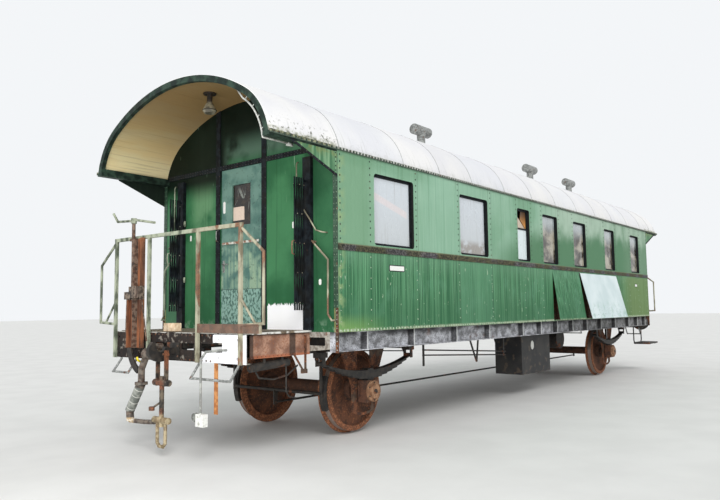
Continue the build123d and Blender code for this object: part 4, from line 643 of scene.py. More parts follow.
def window_glass(g):
    """Dirty panes: the near ones painted pale as a reflection of the sky, the far ones brown and
    smeared, with painted shade at the edges.
    """
    dust = g.noise(7, (1, 1, 0.6), detail=6)
    # Painted reflection of the sky, lighter towards the top
    g.colour = g.tones(g.z, window_low, window_high, (192, 197, 200), (202, 208, 214))
    # A pale smear slants across the first pane
    smear_x, smear_z, smear_slope = -4.667, 2.797, 0.2636
    drop = g.product(g.calc("ADD", g.x, -smear_x), smear_slope)
    offset = g.calc("ADD", g.calc("SUBTRACT", g.z, smear_z), drop)
    smear = g.rise(g.calc("ABSOLUTE", offset), 0.052, 0.030)
    g.lay((224, 208, 206), smear, g.band(g.x, -4.76, -4.06, 0.03), 0.6)
    sky = g.colour
    smears = g.noise(2.6, (1, 1, 1.6))
    g.colour = g.tones(smears, 0.42, 0.60, (50, 41, 31), (166, 158, 140))
    g.lay((172, 180, 182), g.rise(g.z, window_low + 0.46, window_high - 0.08))
    # The near panes take the painted sky reflection
    g.lay(sky, g.rise(g.x, -0.4, -0.9))
    # Soil at the foot of the second pane; the third one is white
    g.lay(
        (120, 102, 82), g.band(g.x, -2.84, -2.10),
        g.rise(g.z, window_low + 0.24, window_low + 0.13),
        g.spots(0.40, 0.52, 5, (1, 1, 1.4), shift=4), 0.65,
    )
    g.lay((222, 236, 236), g.band(g.x, -1.13, -0.73), 0.8)
    # Painted shade of the window recess: dark bands along each pane's edges and head
    edges = [middle + way * (width / 2 - 0.018) for middle, width in windows for way in (-1, 1)]
    shaded_head = g.rise(g.z, window_high - 0.030, window_high - 0.026)
    g.lay((22, 24, 24), g.either(g.stripes(g.x, edges, 0.050, 0.002), shaded_head))
    g.lay((150, 148, 140), g.spots(0.56, 0.70, 1.0, (30, 30, 1.5), detail=4), 0.25)
    rough = g.calc("ADD", 0.05, g.product(g.rise(dust, 0.45, 0.65), 0.35))
    return g.finish(rough, dust, 0.0005, 0.2)


def lamp_paint(g):
    """Black flange and neck over a smoky glass bowl."""
    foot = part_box("hood_lamps")[0].z
    bowl = g.rise(g.z, foot + 0.135, foot + 0.128)
    glass = g.tones(g.noise(12, detail=4), 0.4, 0.6, (96, 92, 80), (150, 144, 124))
    neck = g.tones(g.noise(25, detail=4), 0.45, 0.6, (26, 24, 22), (54, 44, 36))
    g.colour = g.mix(bowl, neck, glass)
    g.lay((60, 56, 50), g.band(g.z, foot + 0.028, foot + 0.040))
    rough = g.calc("SUBTRACT", 0.5, g.product(bowl, 0.35))
    return g.finish(rough, g.noise(40, detail=4), 0.0006)


def wheel_steel(g):
    """Rusty wheels: brown disc, orange tyre, and a bright worn tread."""
    rust, fine = rust_colour(g, 7)
    ahead = g.calc("SUBTRACT", g.calc("ABSOLUTE", g.x), axle_x)
    above = g.calc("SUBTRACT", g.z, axle_z)
    radius = g.calc("SQRT", g.calc("ADD", g.product(ahead, ahead), g.product(above, above)))
    g.colour = g.mix(0.35, rust, (84, 56, 40))
    tyre = g.tones(fine, 0.45, 0.62, (112, 70, 46), (168, 108, 72))
    g.lay(tyre, g.rise(radius, 0.428, 0.438), 0.7)
    outer = g.calc("ABSOLUTE", g.y)
    tread = g.product(
        g.rise(radius, 0.493, 0.496), g.rise(outer, 0.726, 0.732), g.rise(outer, 0.800, 0.790)
    )
    g.lay((168, 162, 156), tread, 0.6)
    g.lay((52, 42, 36), g.rise(radius, 0.150, 0.140), 0.5)
    g.feed(g.product(tread, 0.7), g.shader.inputs["Metallic"])
    return g.finish(g.calc("SUBTRACT", 0.85, g.product(tread, 0.45)), fine, 0.003)


def axle_box_iron(g):
    """Brown cast axle boxes with a tan cover."""
    rust, fine = rust_colour(g, 10)
    g.colour = g.mix(0.5, rust, (46, 38, 34))
    tan = g.tones(g.noise(18), 0.42, 0.62, (132, 96, 70), (172, 132, 100))
    g.lay(tan, g.rise(g.calc("ABSOLUTE", g.y), 1.094, 1.098), 0.85)
    return g.finish(0.8, fine, 0.003)


def primed_sheet(g):
    """Pale blue-white primer with green showing through low down."""
    g.colour = g.tones(g.noise(2), 0.36, 0.64, (198, 213, 214), (216, 227, 228))
    thin = g.spots(0.50, 0.68, 7, (1, 1, 0.8), detail=7)
    g.lay((128, 172, 152), g.rise(g.z, 1.72, 1.30), thin, 0.6)
    dots = g.spots(0.60, 0.68, 44, detail=4, shift=3)
    g.lay((60, 104, 84), dots, g.rise(g.z, 1.66, 1.30), 0.7)
    return g.finish(0.6, g.noise(30, detail=4), 0.001, 0.4)


def steam_iron(g):
    """Grey jointed steam pipe with pale bands, brown fittings and a brassy foot."""
    rust, fine = rust_colour(g, 16)
    iron = g.tones(g.noise(20, detail=6), 0.40, 0.60, (58, 56, 52), (116, 112, 102))
    g.colour = g.mix(0.25, iron, rust)
    lagging = g.tones(g.noise(14), 0.40, 0.62, (104, 108, 102), (156, 158, 150))
    bands_per_metre, lean = 9.5, 0.7
    along = g.calc("SUBTRACT", g.z, g.product(g.y, lean))
    along = g.calc("FRACT", g.calc("MULTIPLY", along, bands_per_metre))
    g.lay(
        g.tones(along, 0.86, 0.90, lagging, (196, 196, 188)), g.rise(g.z, 0.40, 0.42),
        g.rise(g.z, 0.69, 0.67), g.rise(g.y, 0.44, 0.46),
    )
    brass = g.tones(g.noise(30, detail=4), 0.4, 0.6, (178, 150, 112), (216, 206, 188))
    g.lay(brass, g.rise(g.z, 0.345, 0.335), g.rise(g.y, 0.55, 0.60))
    return g.finish(0.6, fine, 0.002)


def coupling_iron(g):
    """Dark greasy links, rusty screw, and a tan lower nut and shackle."""
    rust, fine = rust_colour(g, 16)
    g.colour = g.tones(g.noise(18), 0.40, 0.62, (38, 34, 30), (104, 92, 76))
    g.lay(rust, g.spots(0.48, 0.6, 5, detail=4))
    tan = g.tones(g.noise(22), 0.40, 0.62, (130, 112, 82), (186, 170, 136))
    g.lay(tan, g.rise(g.z, 0.46, 0.40), 0.85)
    return g.finish(0.65, fine, 0.002)


def battery_paint(g):
    """Black box with a few scuffs."""
    g.colour = g.tones(g.noise(3), 0.4, 0.6, (20, 21, 24), (44, 42, 40))
    g.lay((98, 82, 66), g.spots(0.58, 0.66, 9, detail=7), 0.5)
    return g.finish(0.55, g.noise(40, detail=4), 0.002)


def beam_paint(g):
    """Pinkish brown platform beams, orange at the foot, with one white blot."""
    rust, fine = rust_colour(g, 8)
    g.colour = g.tones(g.noise(7, detail=6), 0.38, 0.62, (122, 86, 70), (172, 132, 110))
    g.lay(rust, g.rise(fine, 0.50, 0.64), 0.6)
    g.lay((176, 102, 66), g.rise(g.z, 1.075, 1.050), 0.7)
    g.lay((58, 48, 42), g.rise(g.z, 1.255, 1.268), 0.8)
    jag = g.sway(g.noise(40, detail=3), 0.05)
    g.lay(
        (240, 238, 234), g.band(g.x, -5.873, -5.759, 0.006, jag),
        g.band(g.z, 1.144, 1.215, 0.006, jag), g.rise(g.y, -1.130, -1.138), 0.9,
    )
    dark = g.either(g.band(g.x, -5.690, -5.600, 0.01), g.band(g.x, -6.24, -6.19, 0.01))
    g.lay((30, 25, 22), dark, 0.8)
    return g.finish(0.8, fine, 0.002)


def eaves_strip(g):
    """The strip along the eaves: roof white above, dark below, mossy beside the platforms."""
    moss = g.noise(30, detail=6)
    g.colour = g.tones(moss, 0.42, 0.60, (196, 196, 190), (120, 122, 108))
    mossy = g.tones(moss, 0.40, 0.60, (140, 142, 112), (62, 64, 48))
    g.lay(mossy, g.rise(g.calc("ABSOLUTE", g.x), 5.40, 5.50))
    g.lay((74, 88, 76), g.rise(g.z, 3.222, 3.216))
    return g.finish(0.7, moss, 0.002)


def drop_pipe_paint(g):
    """Pale grey pipe, a white box with a dark plug, and the rusty orange strap beside it."""
    blot = g.noise(22)
    rust, fine = rust_colour(g, 12)
    g.colour = g.tones(blot, 0.42, 0.62, (128, 130, 126), (166, 168, 162))
    g.lay(rust, g.rise(fine, 0.60, 0.68), 0.4)
    low = g.rise(g.z, 0.500, 0.492)
    box = g.tones(blot, 0.5, 0.7, (226, 226, 220), (158, 158, 150))
    g.lay(box, low, g.rise(g.y, -0.566, -0.572))
    plug = g.tones(blot, 0.42, 0.62, (92, 94, 90), (140, 142, 136))
    g.lay(plug, low, g.rise(g.y, -0.572, -0.566))
    strap = g.tones(blot, 0.4, 0.6, (164, 100, 50), (204, 142, 84))
    g.lay(strap, g.rise(g.x, -6.304, -6.301))
    return g.finish(0.7, fine, 0.002)


def enamel(name, tone):
    """A plain painted plate, a little soiled."""
    g = Graph(name, 0.3)
    soiled = tuple(part * 0.82 for part in srgb(tone)[:3]) + (1,)
    g.colour = g.mix(g.product(g.spots(0.52, 0.72, 45, detail=4), 0.7), tone, soiled)
    return g.finish()


finishes = {
    "green": body_green(Graph("green_paint", gloss=0.3)),
    "gusset": gusset_green(Graph("gusset_paint", gloss=0.3)),
    "end": end_green(Graph("end_green_paint", gloss=0.14)),
    "door": door_teal(Graph("door_paint")),
    "beam": beam_paint(Graph("beam_rust")),
    "wheels": wheel_steel(Graph("wheel_steel")),
    "axle_box": axle_box_iron(Graph("axle_box_iron")),
    "sill": sill_grey(Graph("sill_primer")),
    "headstock": primer_over_rust(Graph("headstock_paint")),
    "primed": primed_sheet(Graph("primed_sheet_paint")),
    "roof": roof_paint(Graph("roof_paint")),
    "boards": cream_boards(Graph("ceiling_boards")),
    "rails": rail_paint(Graph("railing_paint")),
    "stand": brake_stand_paint(Graph("brake_stand_rust")),
    "waist": waist_steel(Graph("waist_steel")),
    "deck": deck_wood(Graph("deck_planks")),
    "wood": varnished_wood(Graph("inside_wood", 0.4), (150, 92, 44), (206, 142, 78)),
    "flap": varnished_wood(Graph("flap_wood", 0.5), (186, 124, 58), (216, 154, 82), shaded=True),
    "glass": window_glass(Graph("window_glass", gloss=0.9)),
    "lamp": lamp_paint(Graph("lamp_finish")),
    "steam": steam_iron(Graph("steam_pipe_iron")),
    "coupling": coupling_iron(Graph("coupling_iron")),
    "battery": battery_paint(Graph("battery_box_paint")),
    "strip": eaves_strip(Graph("eaves_strip_paint")),
    "plug": drop_pipe_paint(Graph("drop_pipe_paint")),
    "white": enamel("white_enamel", (236, 236, 230)),
    "yellow": enamel("yellow_paint", (236, 214, 40)),
    "blind": enamel("blind_cloth", (206, 186, 164)),
    "paper": enamel("card", (226, 204, 186)),
}
coats = {
    # Finish: material's name, paint, other tone, share of rust, scale, roughness, gloss
    "black": ("black_iron", (11, 14, 18), (26, 33, 38), -0.1, 6, (0.6, 0.8), 0.2),
    "hood": ("hood_band_paint", (20, 34, 28), (48, 68, 56), 0.0, 4, (0.6, 0.8), 0.25),
    "rust": ("rusty_steel", (66, 52, 42), (94, 72, 56), 0.60, 6, (0.7, 0.9)),
    "dark_rust": ("dark_rusty_steel", (26, 24, 22), (50, 44, 38), 0.22, 6, (0.6, 0.9)),
    "corner": ("corner_iron", (166, 162, 152), (122, 114, 104), 0.15, 9, (0.6, 0.9)),
    "corner_green": ("corner_green", (34, 60, 44), (56, 84, 64), 0.05, 8),
    "pipe": ("pipe_grey", (112, 114, 112), (158, 160, 156), 0.12, 14, (0.4, 0.8)),
    "conduit": ("conduit_grey", (176, 178, 172), (206, 206, 200), 0.0, 20, (0.4, 0.8)),
    "pink_wood": ("block_wood", (206, 178, 146), (226, 204, 174), 0.03, 8, (0.8, 0.9)),
    "rivet_dark": ("rivet_dark", (24, 44, 32), (44, 66, 50), 0.2, 30),
    # Rivets of the body corners, painted lighter than their strips as painted highlight
    "rivet_painted_highlight": ("rivet_painted_highlight", (84, 108, 88), (120, 140, 116), 0.1, 30),
    "rivet_pale": ("rivet_pale", (150, 176, 148), (196, 206, 182), 0.1, 30),
    "rivet_black": ("rivet_black", (30, 36, 36), (60, 66, 62), 0.1, 30),
}
for finish, coat in coats.items():
    finishes[finish] = coated(*coat)

# Finish: the model's nodes that wear it
wearers = {
    "green": ("side_wall_front", "side_wall_back", "loose_sheet_green"),
    "gusset": ("hood_gussets",), "primed": ("loose_sheet_primed",),
    "end": ("end_wall_near", "end_wall_far"), "door": ("end_door_near", "end_door_far"),
    "black": ("door_frames", "window_frames", "folding_gates"),
    "hood": ("hood_trims",), "roof": ("roof_skin",), "boards": ("roof_boards",),
    "strip": ("rain_strips",), "pipe": ("roof_ventilators", "shunter_handles"),
    "waist": ("waist_strips",), "sill": ("outer_sills",), "corner": ("outriggers",),
    "headstock": ("headstocks", "buffer_pads_near"), "deck": ("platform_decks", "cabin_floor"),
    "beam": ("platform_beams",), "rails": ("end_railings", "hand_brake_handle", "grab_rods"),
    "stand": ("hand_brake_stand",), "wheels": ("wheelset_near", "wheelset_far"),
    "glass": ("window_panes",), "lamp": ("hood_lamps",), "wood": ("partitions", "benches"),
    "steam": ("steam_coupling_near",), "coupling": ("screw_couplings",),
    "battery": ("battery_box",), "axle_box": ("axle_boxes",), "plug": ("drop_pipe_near",),
    "rust": ("corner_straps", "step_bracket_near", "axle_guards"),
    "dark_rust": (
        "hand_brake_crank", "draw_hooks", "platform_pipes_near", "steps_far", "truss_struts",
        "brake_rigging", "leaf_springs", "spring_hangers", "buffers_far", "main_sills",
        "draw_gear_sills", "cross_bearers", "brake_cylinder", "air_reservoir",
    ),
}
finish_of = {name: finish for finish, names in wearers.items() for name in names}
for name, node in nodes.items():
    finish = finishes[finish_of[name]]
    if not node.data.materials:
        node.data.materials.append(finish)
    for slot in node.material_slots:
        slot.material = finish


def circle(centre, side, up, radius, count):
    """Points round a centre, in the plane of two directions."""
    turns = [math.tau * step / count for step in range(count)]
    return [centre + (side * math.cos(turn) + up * math.sin(turn)) * radius for turn in turns]


class Batch:
    """Gathers the points and faces of many small forms into one piece."""

    def __init__(self):
        self.points, self.faces = [], []

    def append(self, points, faces):
        first = len(self.points)
        self.points += points
        self.faces += [tuple(first + corner for corner in face) for face in faces]

    def skin(self, rings, tip=None):
        """Joins rings of points and closes both ends, the last one over a tip if one is given."""
        count = len(rings[0])
        points = [point for ring in rings for point in ring]
        last = len(points) - count
        faces = []
        for start in range(0, last, count):
            for step in range(count):
                a, b = start + step, start + (step + 1) % count
                faces.append((a, b, b + count, a + count))
        top = last + count
        if tip is not None:
            points.append(tip)
            faces += [(last + step, last + (step + 1) % count, top) for step in range(count)]
        faces.append(tuple(reversed(range(count))))
        if tip is None:
            faces.append(tuple(range(last, top)))
        self.append(points, faces)

    def rivet(self, centre, normal, radius=0.008, height=0.005, sides=8):
        """A low dome that stands on a surface."""
        centre, normal = Vector(centre), Vector(normal).normalized()
        side = normal.orthogonal().normalized()
        up = normal.cross(side)
        rings = [
            circle(centre + normal * lift, side, up, radius * share, sides)
            for share, lift in ((1.0, -0.0005), (0.92, 0.55 * height), (0.5, 0.93 * height))
        ]
        self.skin(rings, centre + normal * height)

    def row(self, start, end, pitch, normal, **size):
        """Rivets from start to end, about one pitch apart."""
        start, end = Vector(start), Vector(end)
        count = max(1, round((end - start).length / pitch))
        for number in range(count + 1):
            self.rivet(start.lerp(end, number / count), normal, **size)

    def tube(self, route, radius, sides=10):
        """A round bar along points, with its ends closed."""
        route = [Vector(p) for p in route]
        turns = [
            (after - before).normalized()
            for before, after in zip(route[:1] + route, route[1:] + route[-1:])
        ]
        side = turns[0].orthogonal().normalized()
        rings = []
        for point, ahead in zip(route, turns):
            side = (side - ahead * side.dot(ahead)).normalized()
            rings.append(circle(point, side, ahead.cross(side), radius, sides))
        self.skin(rings)

    def slab(self, outline, origin, across, thickness):
        """An upright outline raised from a surface, with a small chamfer at its front edge."""
        across, up, origin = Vector(across), Vector((0, 0, 1)), Vector(origin)
        normal = across.cross(up)
        outline = [Vector(place) for place in outline]
        middle = sum(outline, Vector((0, 0))) / len(outline)
        chamfer = min(thickness * 0.4, 0.002)
        rings = []
        for lift, inset in ((0, 0), (thickness - chamfer, 0), (thickness, chamfer)):
            ring = [place + (middle - place).normalized() * inset for place in outline]
            rings.append([origin + across * p.x + up * p.y + normal * lift for p in ring])
        self.skin(rings)

    def block(self, corner, other, chamfer=0.002):
        """A box with chamfered edges between two opposite corners."""
        low = Vector([min(pair) for pair in zip(corner, other)])
        high = Vector([max(pair) for pair in zip(corner, other)])
        middle, half = (low + high) / 2, (high - low) / 2
        rings = [
            [
                Vector((middle.x + x * (half.x - inset), middle.y + y * (half.y - inset), z))
                for x, y in ((-1, -1), (1, -1), (1, 1), (-1, 1))
            ]
            for z, inset in (
                (low.z, chamfer), (low.z + chamfer, 0), (high.z - chamfer, 0), (high.z, chamfer)
            )
        ]
        self.skin(rings)

    def make(self, name, finish, slot, body="coach", smooth=True):
        """Turns what was gathered into one mesh piece that rides on a body."""
        mesh = bpy.data.meshes.new(name)
        mesh.from_pydata([tuple(p) for p in self.points], [], self.faces)
        mesh.validate()
        mesh.materials.append(finishes[finish])
        for polygon in mesh.polygons:
            polygon.use_smooth = smooth
        made = bpy.data.objects.new(name, mesh)
        bpy.context.scene.collection.objects.link(made)
        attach(made, body)


def oval(width, height, steps=20):
    """A rounded plate outline: a stadium standing or lying by its longer side."""
    radius = min(width, height) / 2
    reach_x, reach_y = width / 2 - radius, height / 2 - radius
    points = []
    for step in range(steps):
        turn = math.tau * (step + 0.5) / steps
        x = math.cos(turn) * radius + math.copysign(reach_x, math.cos(turn))
        y = math.sin(turn) * radius + math.copysign(reach_y, math.sin(turn))
        points.append((x, y))
    return points


def oblong(width, height):
    """A rectangle's outline."""
    return [(x * width / 2, y * height / 2) for x, y in ((-1, -1), (1, -1), (1, 1), (-1, 1))]


def roof_line(inset=0.0, steps=48, start=None):
    """Points along the roof's arch from the +Y eaves to the -Y eaves, with their outward turn."""
    side_radius, top_radius = arch_side_radius - inset, crown_radius - inset
    foot = math.asin((eaves_z - arch_side_z) / side_radius) if start is None else start
    side_steps = steps // 3
    crown_steps = steps - 2 * side_steps
    side, crown = [], []
    for step in range(side_steps):
        turn = foot + (arch_tangent - foot) * step / side_steps
        y = arch_side_y + side_radius * math.cos(turn)
        side.append((y, arch_side_z + side_radius * math.sin(turn), turn))
    for step in range(crown_steps + 1):
        turn = arch_tangent + (math.pi - 2 * arch_tangent) * step / crown_steps
        z = arch_side_z - arch_rise + top_radius * math.sin(turn)
        crown.append((top_radius * math.cos(turn), z, turn))
    return side + crown + [(-y, z, math.pi - turn) for y, z, turn in reversed(side)]


def side_rivets():
    """Rivet columns at the pillars, rows along the eaves and the foot, on both sides."""
    columns, foot, eaves = Batch(), Batch(), Batch()
    margin, column_margin = 0.03, 0.035
    foot_z, rim_z = sill_top + 0.016, eaves_z - 0.003
    for way in (-1, 1):
        y, strip_y = way * side_y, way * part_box("rain_strips")[1].y
        normal = (0, way, 0)
        for x in upper_columns:
            columns.row(
                (x, y, waist_top + 0.05), (x, y, eaves_z - 0.06), 0.076, normal, radius=0.010
            )
        for x in (near_x + column_margin,) + pillars + (far_x - column_margin,):
            loose = way < 0 and missing_sheet[0] - 0.05 < x < missing_sheet[1] - 0.01
            if not loose:
                foot.row(
                    (x, y, sill_top + 0.11), (x, y, waist_bottom - 0.05), 0.110, normal,
                    radius=0.007,
                )
        spans = [(near_x + margin, far_x - margin)]
        if way < 0:
            start, end = missing_sheet
            spans = [(near_x + margin, start - margin), (end + margin, far_x - margin)]
        for start, end in spans:
            start, end = (start, y, foot_z), (end, y, foot_z)
            foot.row(start, end, 0.058, normal, radius=0.012, height=0.007)
        size = {"radius": 0.013, "height": 0.008}
        start, end = (near_x + margin, strip_y, rim_z), (far_x - margin, strip_y, rim_z)
        eaves.row(start, end, 0.055, normal, **size)
        for sign, wall_x in ends:
            start = (wall_x + sign * margin, strip_y, rim_z)
            eaves.row(start, (sign * (hood_x - margin), strip_y, rim_z), 0.080, normal, **size)
    columns.make("side_rivets", "rivet_dark", "green_paint")
    foot.make("side_foot_rivets", "rivet_pale", "green_paint")
    eaves.make("eaves_rivets", "rivet_dark", "green_paint")


def end_rivets():
    """Rivets of the header band, door posts, body corners and corner plates at both ends."""
    header, corner, plates, strips = Batch(), Batch(), Batch(), Batch()
    band_z = 3.245 + rail
    strip, strip_width, strap = 0.005, 0.066, 0.008
    corner_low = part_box("corner_straps")[0].z
    for (way, wall_x), band in zip(ends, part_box("door_frames")):
        normal = (way, 0, 0)
        for z in (band_z - 0.018, band_z + 0.018):
            for start, end in ((-1.42, -0.47), (-0.36, 0.36), (0.47, 1.42)):
                header.row(
                    (band.x, start, z), (band.x, end, z), 0.050, normal, radius=0.007, height=0.004
                )
        strip_x, strap_x = wall_x + way * strip, wall_x + way * strap
        columns = (
            # Batch, X, distance along Y, foot, top, pitch, radius, height
            (header, band.x, 0.385, sill_top + 0.10, 3.18, 0.12, 0.0055, 0.003),
            (header, band.x, 0.445, sill_top + 0.10, 3.18, 0.12, 0.0055, 0.003),
            (corner, strip_x, side_y - 0.014, 1.55, eaves_z - 0.05, 0.060, 0.007, 0.004),
            (corner, strip_x, side_y - 0.050, 1.55, eaves_z - 0.05, 0.060, 0.007, 0.004),
            (plates, strap_x, side_y - 0.019, corner_low + 0.03, 1.50, 0.045, 0.008, 0.005),
            (plates, wall_x, 1.395, 1.125, sill_top - 0.03, 0.040, 0.008, 0.004),
        )
        for side in (-1, 1):
            for batch, x, reach, foot, top, pitch, radius, height in columns:
                y = side * reach
                batch.row((x, y, foot), (x, y, top), pitch, normal, radius=radius, height=height)
            for z in (1.112, 1.246):
                start, end = (wall_x, side * 1.165, z), (wall_x, side * 1.37, z)
                plates.row(start, end, 0.045, normal, radius=0.008, height=0.004)
            strips.block(
                (wall_x, side * side_y, 1.532),
                (strip_x, side * (side_y - strip_width), eaves_z - 0.043), 0.001,
            )
    header.make("header_rivets", "rivet_black", "black_iron")
    # The corner rivets are painted lighter than the strips as painted highlight
    corner.make("corner_rivets", "rivet_painted_highlight", "green_paint")
    plates.make("corner_plate_rivets", "corner", "rusty_steel")
    strips.make("corner_strips", "corner_green", "dark_green_paint", smooth=False)


def gusset_trim():
    """A dark flat bar and rivets along each hood gusset's sloping edge."""
    flange, rivets = Batch(), Batch()
    low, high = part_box("hood_gussets")
    foot_z, tip_z = low.z, 3.156 + rail
    length, width, thickness = 0.689, 0.030, 0.004
    for way, wall_x in ends:
        tip_x = wall_x + way * length
        for side in (-1, 1):
            face_y = side * high.y
            corners = [
                Vector((x, face_y + side * out, z + rise))
                for x, z in ((wall_x, foot_z), (tip_x, tip_z - 0.004))
                for out in (0, thickness) for rise in (0, width)
            ]
            flange.append(corners, [
                (0, 1, 3, 2), (4, 6, 7, 5), (0, 4, 5, 1), (2, 3, 7, 6), (1, 5, 7, 3), (0, 2, 6, 4),
            ])
            normal = (0, side, 0)
            bar_y = face_y + side * thickness
            start = (wall_x + way * 0.05, bar_y, foot_z + 0.034)
            rivets.row(start, (tip_x - way * 0.05, bar_y, tip_z - 0.006), 0.085, normal)
            x = wall_x + way * 0.025
            rivets.row((x, face_y, foot_z + 0.07), (x, face_y, 3.175), 0.05, normal, radius=0.009)
    flange.make("gusset_flanges", "black", "dark_green_paint", smooth=False)
    rivets.make("gusset_rivets", "rivet_dark", "green_paint")


def roof_seam_strips():
    """Raised lap seams across the roof between its sheets."""
    seams = Batch()
    half, lift = 0.0045, 0.0025
    profile = ((-half, 0), (-half * 0.6, lift), (half * 0.6, lift), (half, 0))
    for seam_x in roof_seams:
        points, faces = [], []
        for number, (y, z, turn) in enumerate(roof_line()):
            out = Vector((0, math.cos(turn), math.sin(turn)))
            points += [Vector((seam_x + x, y, z)) + out * rise for x, rise in profile]
            if number:
                a, b = number * 4 - 4, number * 4
                faces += [(a + step, a + step + 1, b + step + 1, b + step) for step in range(3)]
                faces.append((a + 3, a, b, b + 3))
        end = len(points) - 4
        faces += [(0, 3, 2, 1), (end, end + 1, end + 2, end + 3)]
        seams.append(points, faces)
    seams.make("roof_seams", "pipe", "roof_grey", smooth=False)


def hood_conduit():
    """The lamp's conduit, held by clips inside the near hood's edge and along its eaves beam."""
    run = Batch()
    x, inset, band_inset, lowest_turn = -6.345, 0.115, 0.070, 0.138
    beam_y, beam_z, beam_reach = -1.433, 3.1815, 0.33
    line = [(y, z) for y, z, turn in roof_line(inset, 72, lowest_turn) if y < -1.10]
    run.tube(
        [(x, -1.060, 3.730)] + [(x, y, z) for y, z in line]
        + [(x + 0.02, beam_y, beam_z), (x + beam_reach, beam_y, beam_z)], 0.0095, 8,
    )
    run.block((x + beam_reach, -1.447, 3.160), (x + 0.40, -1.413, 3.190), 0.003)
    for y, z in line[2::6]:
        turn = math.atan2(z - arch_side_z, y + arch_side_y)
        out = Vector((0, math.cos(turn), math.sin(turn))) * (inset - band_inset)
        run.tube(((x, y, z), (x, y + out.y, z + out.z)), 0.006, 6)
    run.make("hood_conduit", "conduit", "weathered_rail")


def plates_and_card():
    """Blank plates on the sides, the end and the door, and the card behind the door's pane."""
    white, edges, door_plate, card = Batch(), Batch(), Batch(), Batch()
    plate, border = 0.002, 0.02
    towards_near = (0, -1, 0)
    for x, z, width, height in ((-4.339, 1.952, 0.30, 0.075), (4.594, 1.925, 0.15, 0.07)):
        for way in (-1, 1):
            across, place = (-way, 0, 0), (-way * x, way * side_y, z + rail)
            face = (-way * x, way * (side_y + plate), z + rail)
            edges.slab(oblong(width, height), place, across, plate)
            white.slab(oblong(width - border, height - border), face, across, plate)
    ovals = (
        # Place along Y, height above the rail, width, height
        (-1.290, 1.779, 0.036, 0.065), (0.965, 2.416, 0.034, 0.075), (-0.885, 2.430, 0.022, 0.075),
    )
    for y, z, width, height in ovals:
        white.slab(oval(width, height), (near_x, y, z + rail), towards_near, 0.003)
    door_plate.slab(oval(0.042, 0.150), (near_x + 0.010, 0.312, 2.750 + rail), towards_near, 0.003)
    door_plate.make("door_plate", "white", "white_primer", "end_door_near", smooth=False)
    turns = [math.tau * step / 24 for step in range(24)]
    disc = [(0.06 * math.cos(turn), 0.077 * math.sin(turn)) for turn in turns]
    white.slab(disc, (0.38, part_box("battery_box")[0].y, 0.82 + rail), (1, 0, 0), 0.004)
    white.make("blank_plates", "white", "white_primer", smooth=False)
    edges.make("plate_edges", "black", "black_iron", smooth=False)
    outline = [(-0.103, -0.0825), (0.103, -0.0815), (0.100, 0.080), (0.04, 0.0835), (-0.101, 0.082)]
    card.slab(outline, (near_x + 0.0290, 0.067, 2.655 + rail), towards_near, 0.0012)
    card.make("door_card", "paper", "white_primer", "end_door_near", smooth=False)


def door_fittings():
    """A small lever on each door's leaf and a handle on the post beside it."""
    posts = Batch()
    for (way, wall_x), end, band in zip(ends, ("near", "far"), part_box("door_frames")):
        lever = Batch()
        y, z = -way * 0.318, 2.02 + rail
        pivot_z = z + 0.03
        lever.slab(oval(0.036, 0.15), (wall_x - way * 0.010, y, z), (0, way, 0), 0.004)
        stem = wall_x - way * 0.006
        lever.tube(((stem, y, pivot_z), (stem + way * 0.024, y, pivot_z)), 0.008)
        x = stem + way * 0.022
        lever.tube(
            ((x, y, pivot_z), (x, y + way * 0.04, z + 0.032), (x, y + way * 0.10, z + 0.022)), 0.007
        )
        lever.make(f"door_lever_{end}", "pipe", "weathered_rail", f"end_door_{end}")
        y, grip_x = -way * 0.400, band.x + way * 0.035
        grip = ((band.x, y, 2.36), (grip_x, y, 2.37), (grip_x, y, 2.49), (band.x, y, 2.50))
        posts.tube(grip, 0.007, 8)
    posts.make("post_grips", "pipe", "weathered_rail")


# Folded gates: first picket from the end wall, pitch of the pickets, their number
first_picket, picket_pitch, picket_count = 0.072, 0.034, 5
gate_y, strap_out = 1.115, 0.011


def gate_fittings():
    """Rivets where the gates' straps cross their pickets, with knuckles, rods and handles."""
    rivets, knuckles = Batch(), Batch()
    rows = (1.56 + rail, 2.20 + rail, 2.84 + rail)
    for way, wall_x in ends:
        for side in (-1, 1):
            y = side * gate_y
            for low, high in zip(rows, rows[1:]):
                for first in (0, 2):
                    for step in range(3):
                        x = wall_x + way * (first_picket + picket_pitch * (first + step))
                        climb = (high - low) * step / 2
                        rivets.rivet((x, y + strap_out, low + climb), (0, 1, 0), 0.006, 0.004)
                        rivets.rivet((x, y - strap_out, high - climb), (0, -1, 0), 0.006, 0.004)
            post_y, x = side * 1.075, wall_x + way * 0.024
            pin_y = post_y - side * 0.012
            for z in (1.884 + rail, 2.612 + rail):
                knuckles.tube(((x, pin_y, z - 0.035), (x, pin_y, z + 0.035)), 0.012)
                knuckles.block((x - 0.012, post_y, z - 0.020), (x + 0.012, pin_y, z + 0.020))
            last = wall_x + way * (first_picket + picket_pitch * (picket_count - 1) + 0.007)
            pull = ((0, 2.254), (0.030, 2.244), (0.036, 2.19), (0.030, 2.115), (0, 2.105))
            knuckles.tube([(last + way * out, y, z) for out, z in pull], 0.008, 8)
            rod_x, rod_y = wall_x + way * 0.160, side * 1.098
            rod = ((0, 2.55), (0, 3.09), (0.010, 3.112), (0.030, 3.118))
            knuckles.tube([(rod_x - way * back, rod_y, z) for back, z in rod], 0.007, 8)
            lever_x = wall_x + way * 0.058
            lever = (
                (lever_x + way * 0.010, 1.108, 2.614), (lever_x, 1.20, 2.485),
                (lever_x, 1.285, 2.366), (lever_x, 1.375, 2.338), (wall_x, 1.400, 2.334),
            )
            knuckles.tube([(x, side * out, z) for x, out, z in lever], 0.008, 8)
    rivets.make("gate_rivets", "rails", "black_iron")
    knuckles.make("gate_fittings", "rails", "weathered_rail")


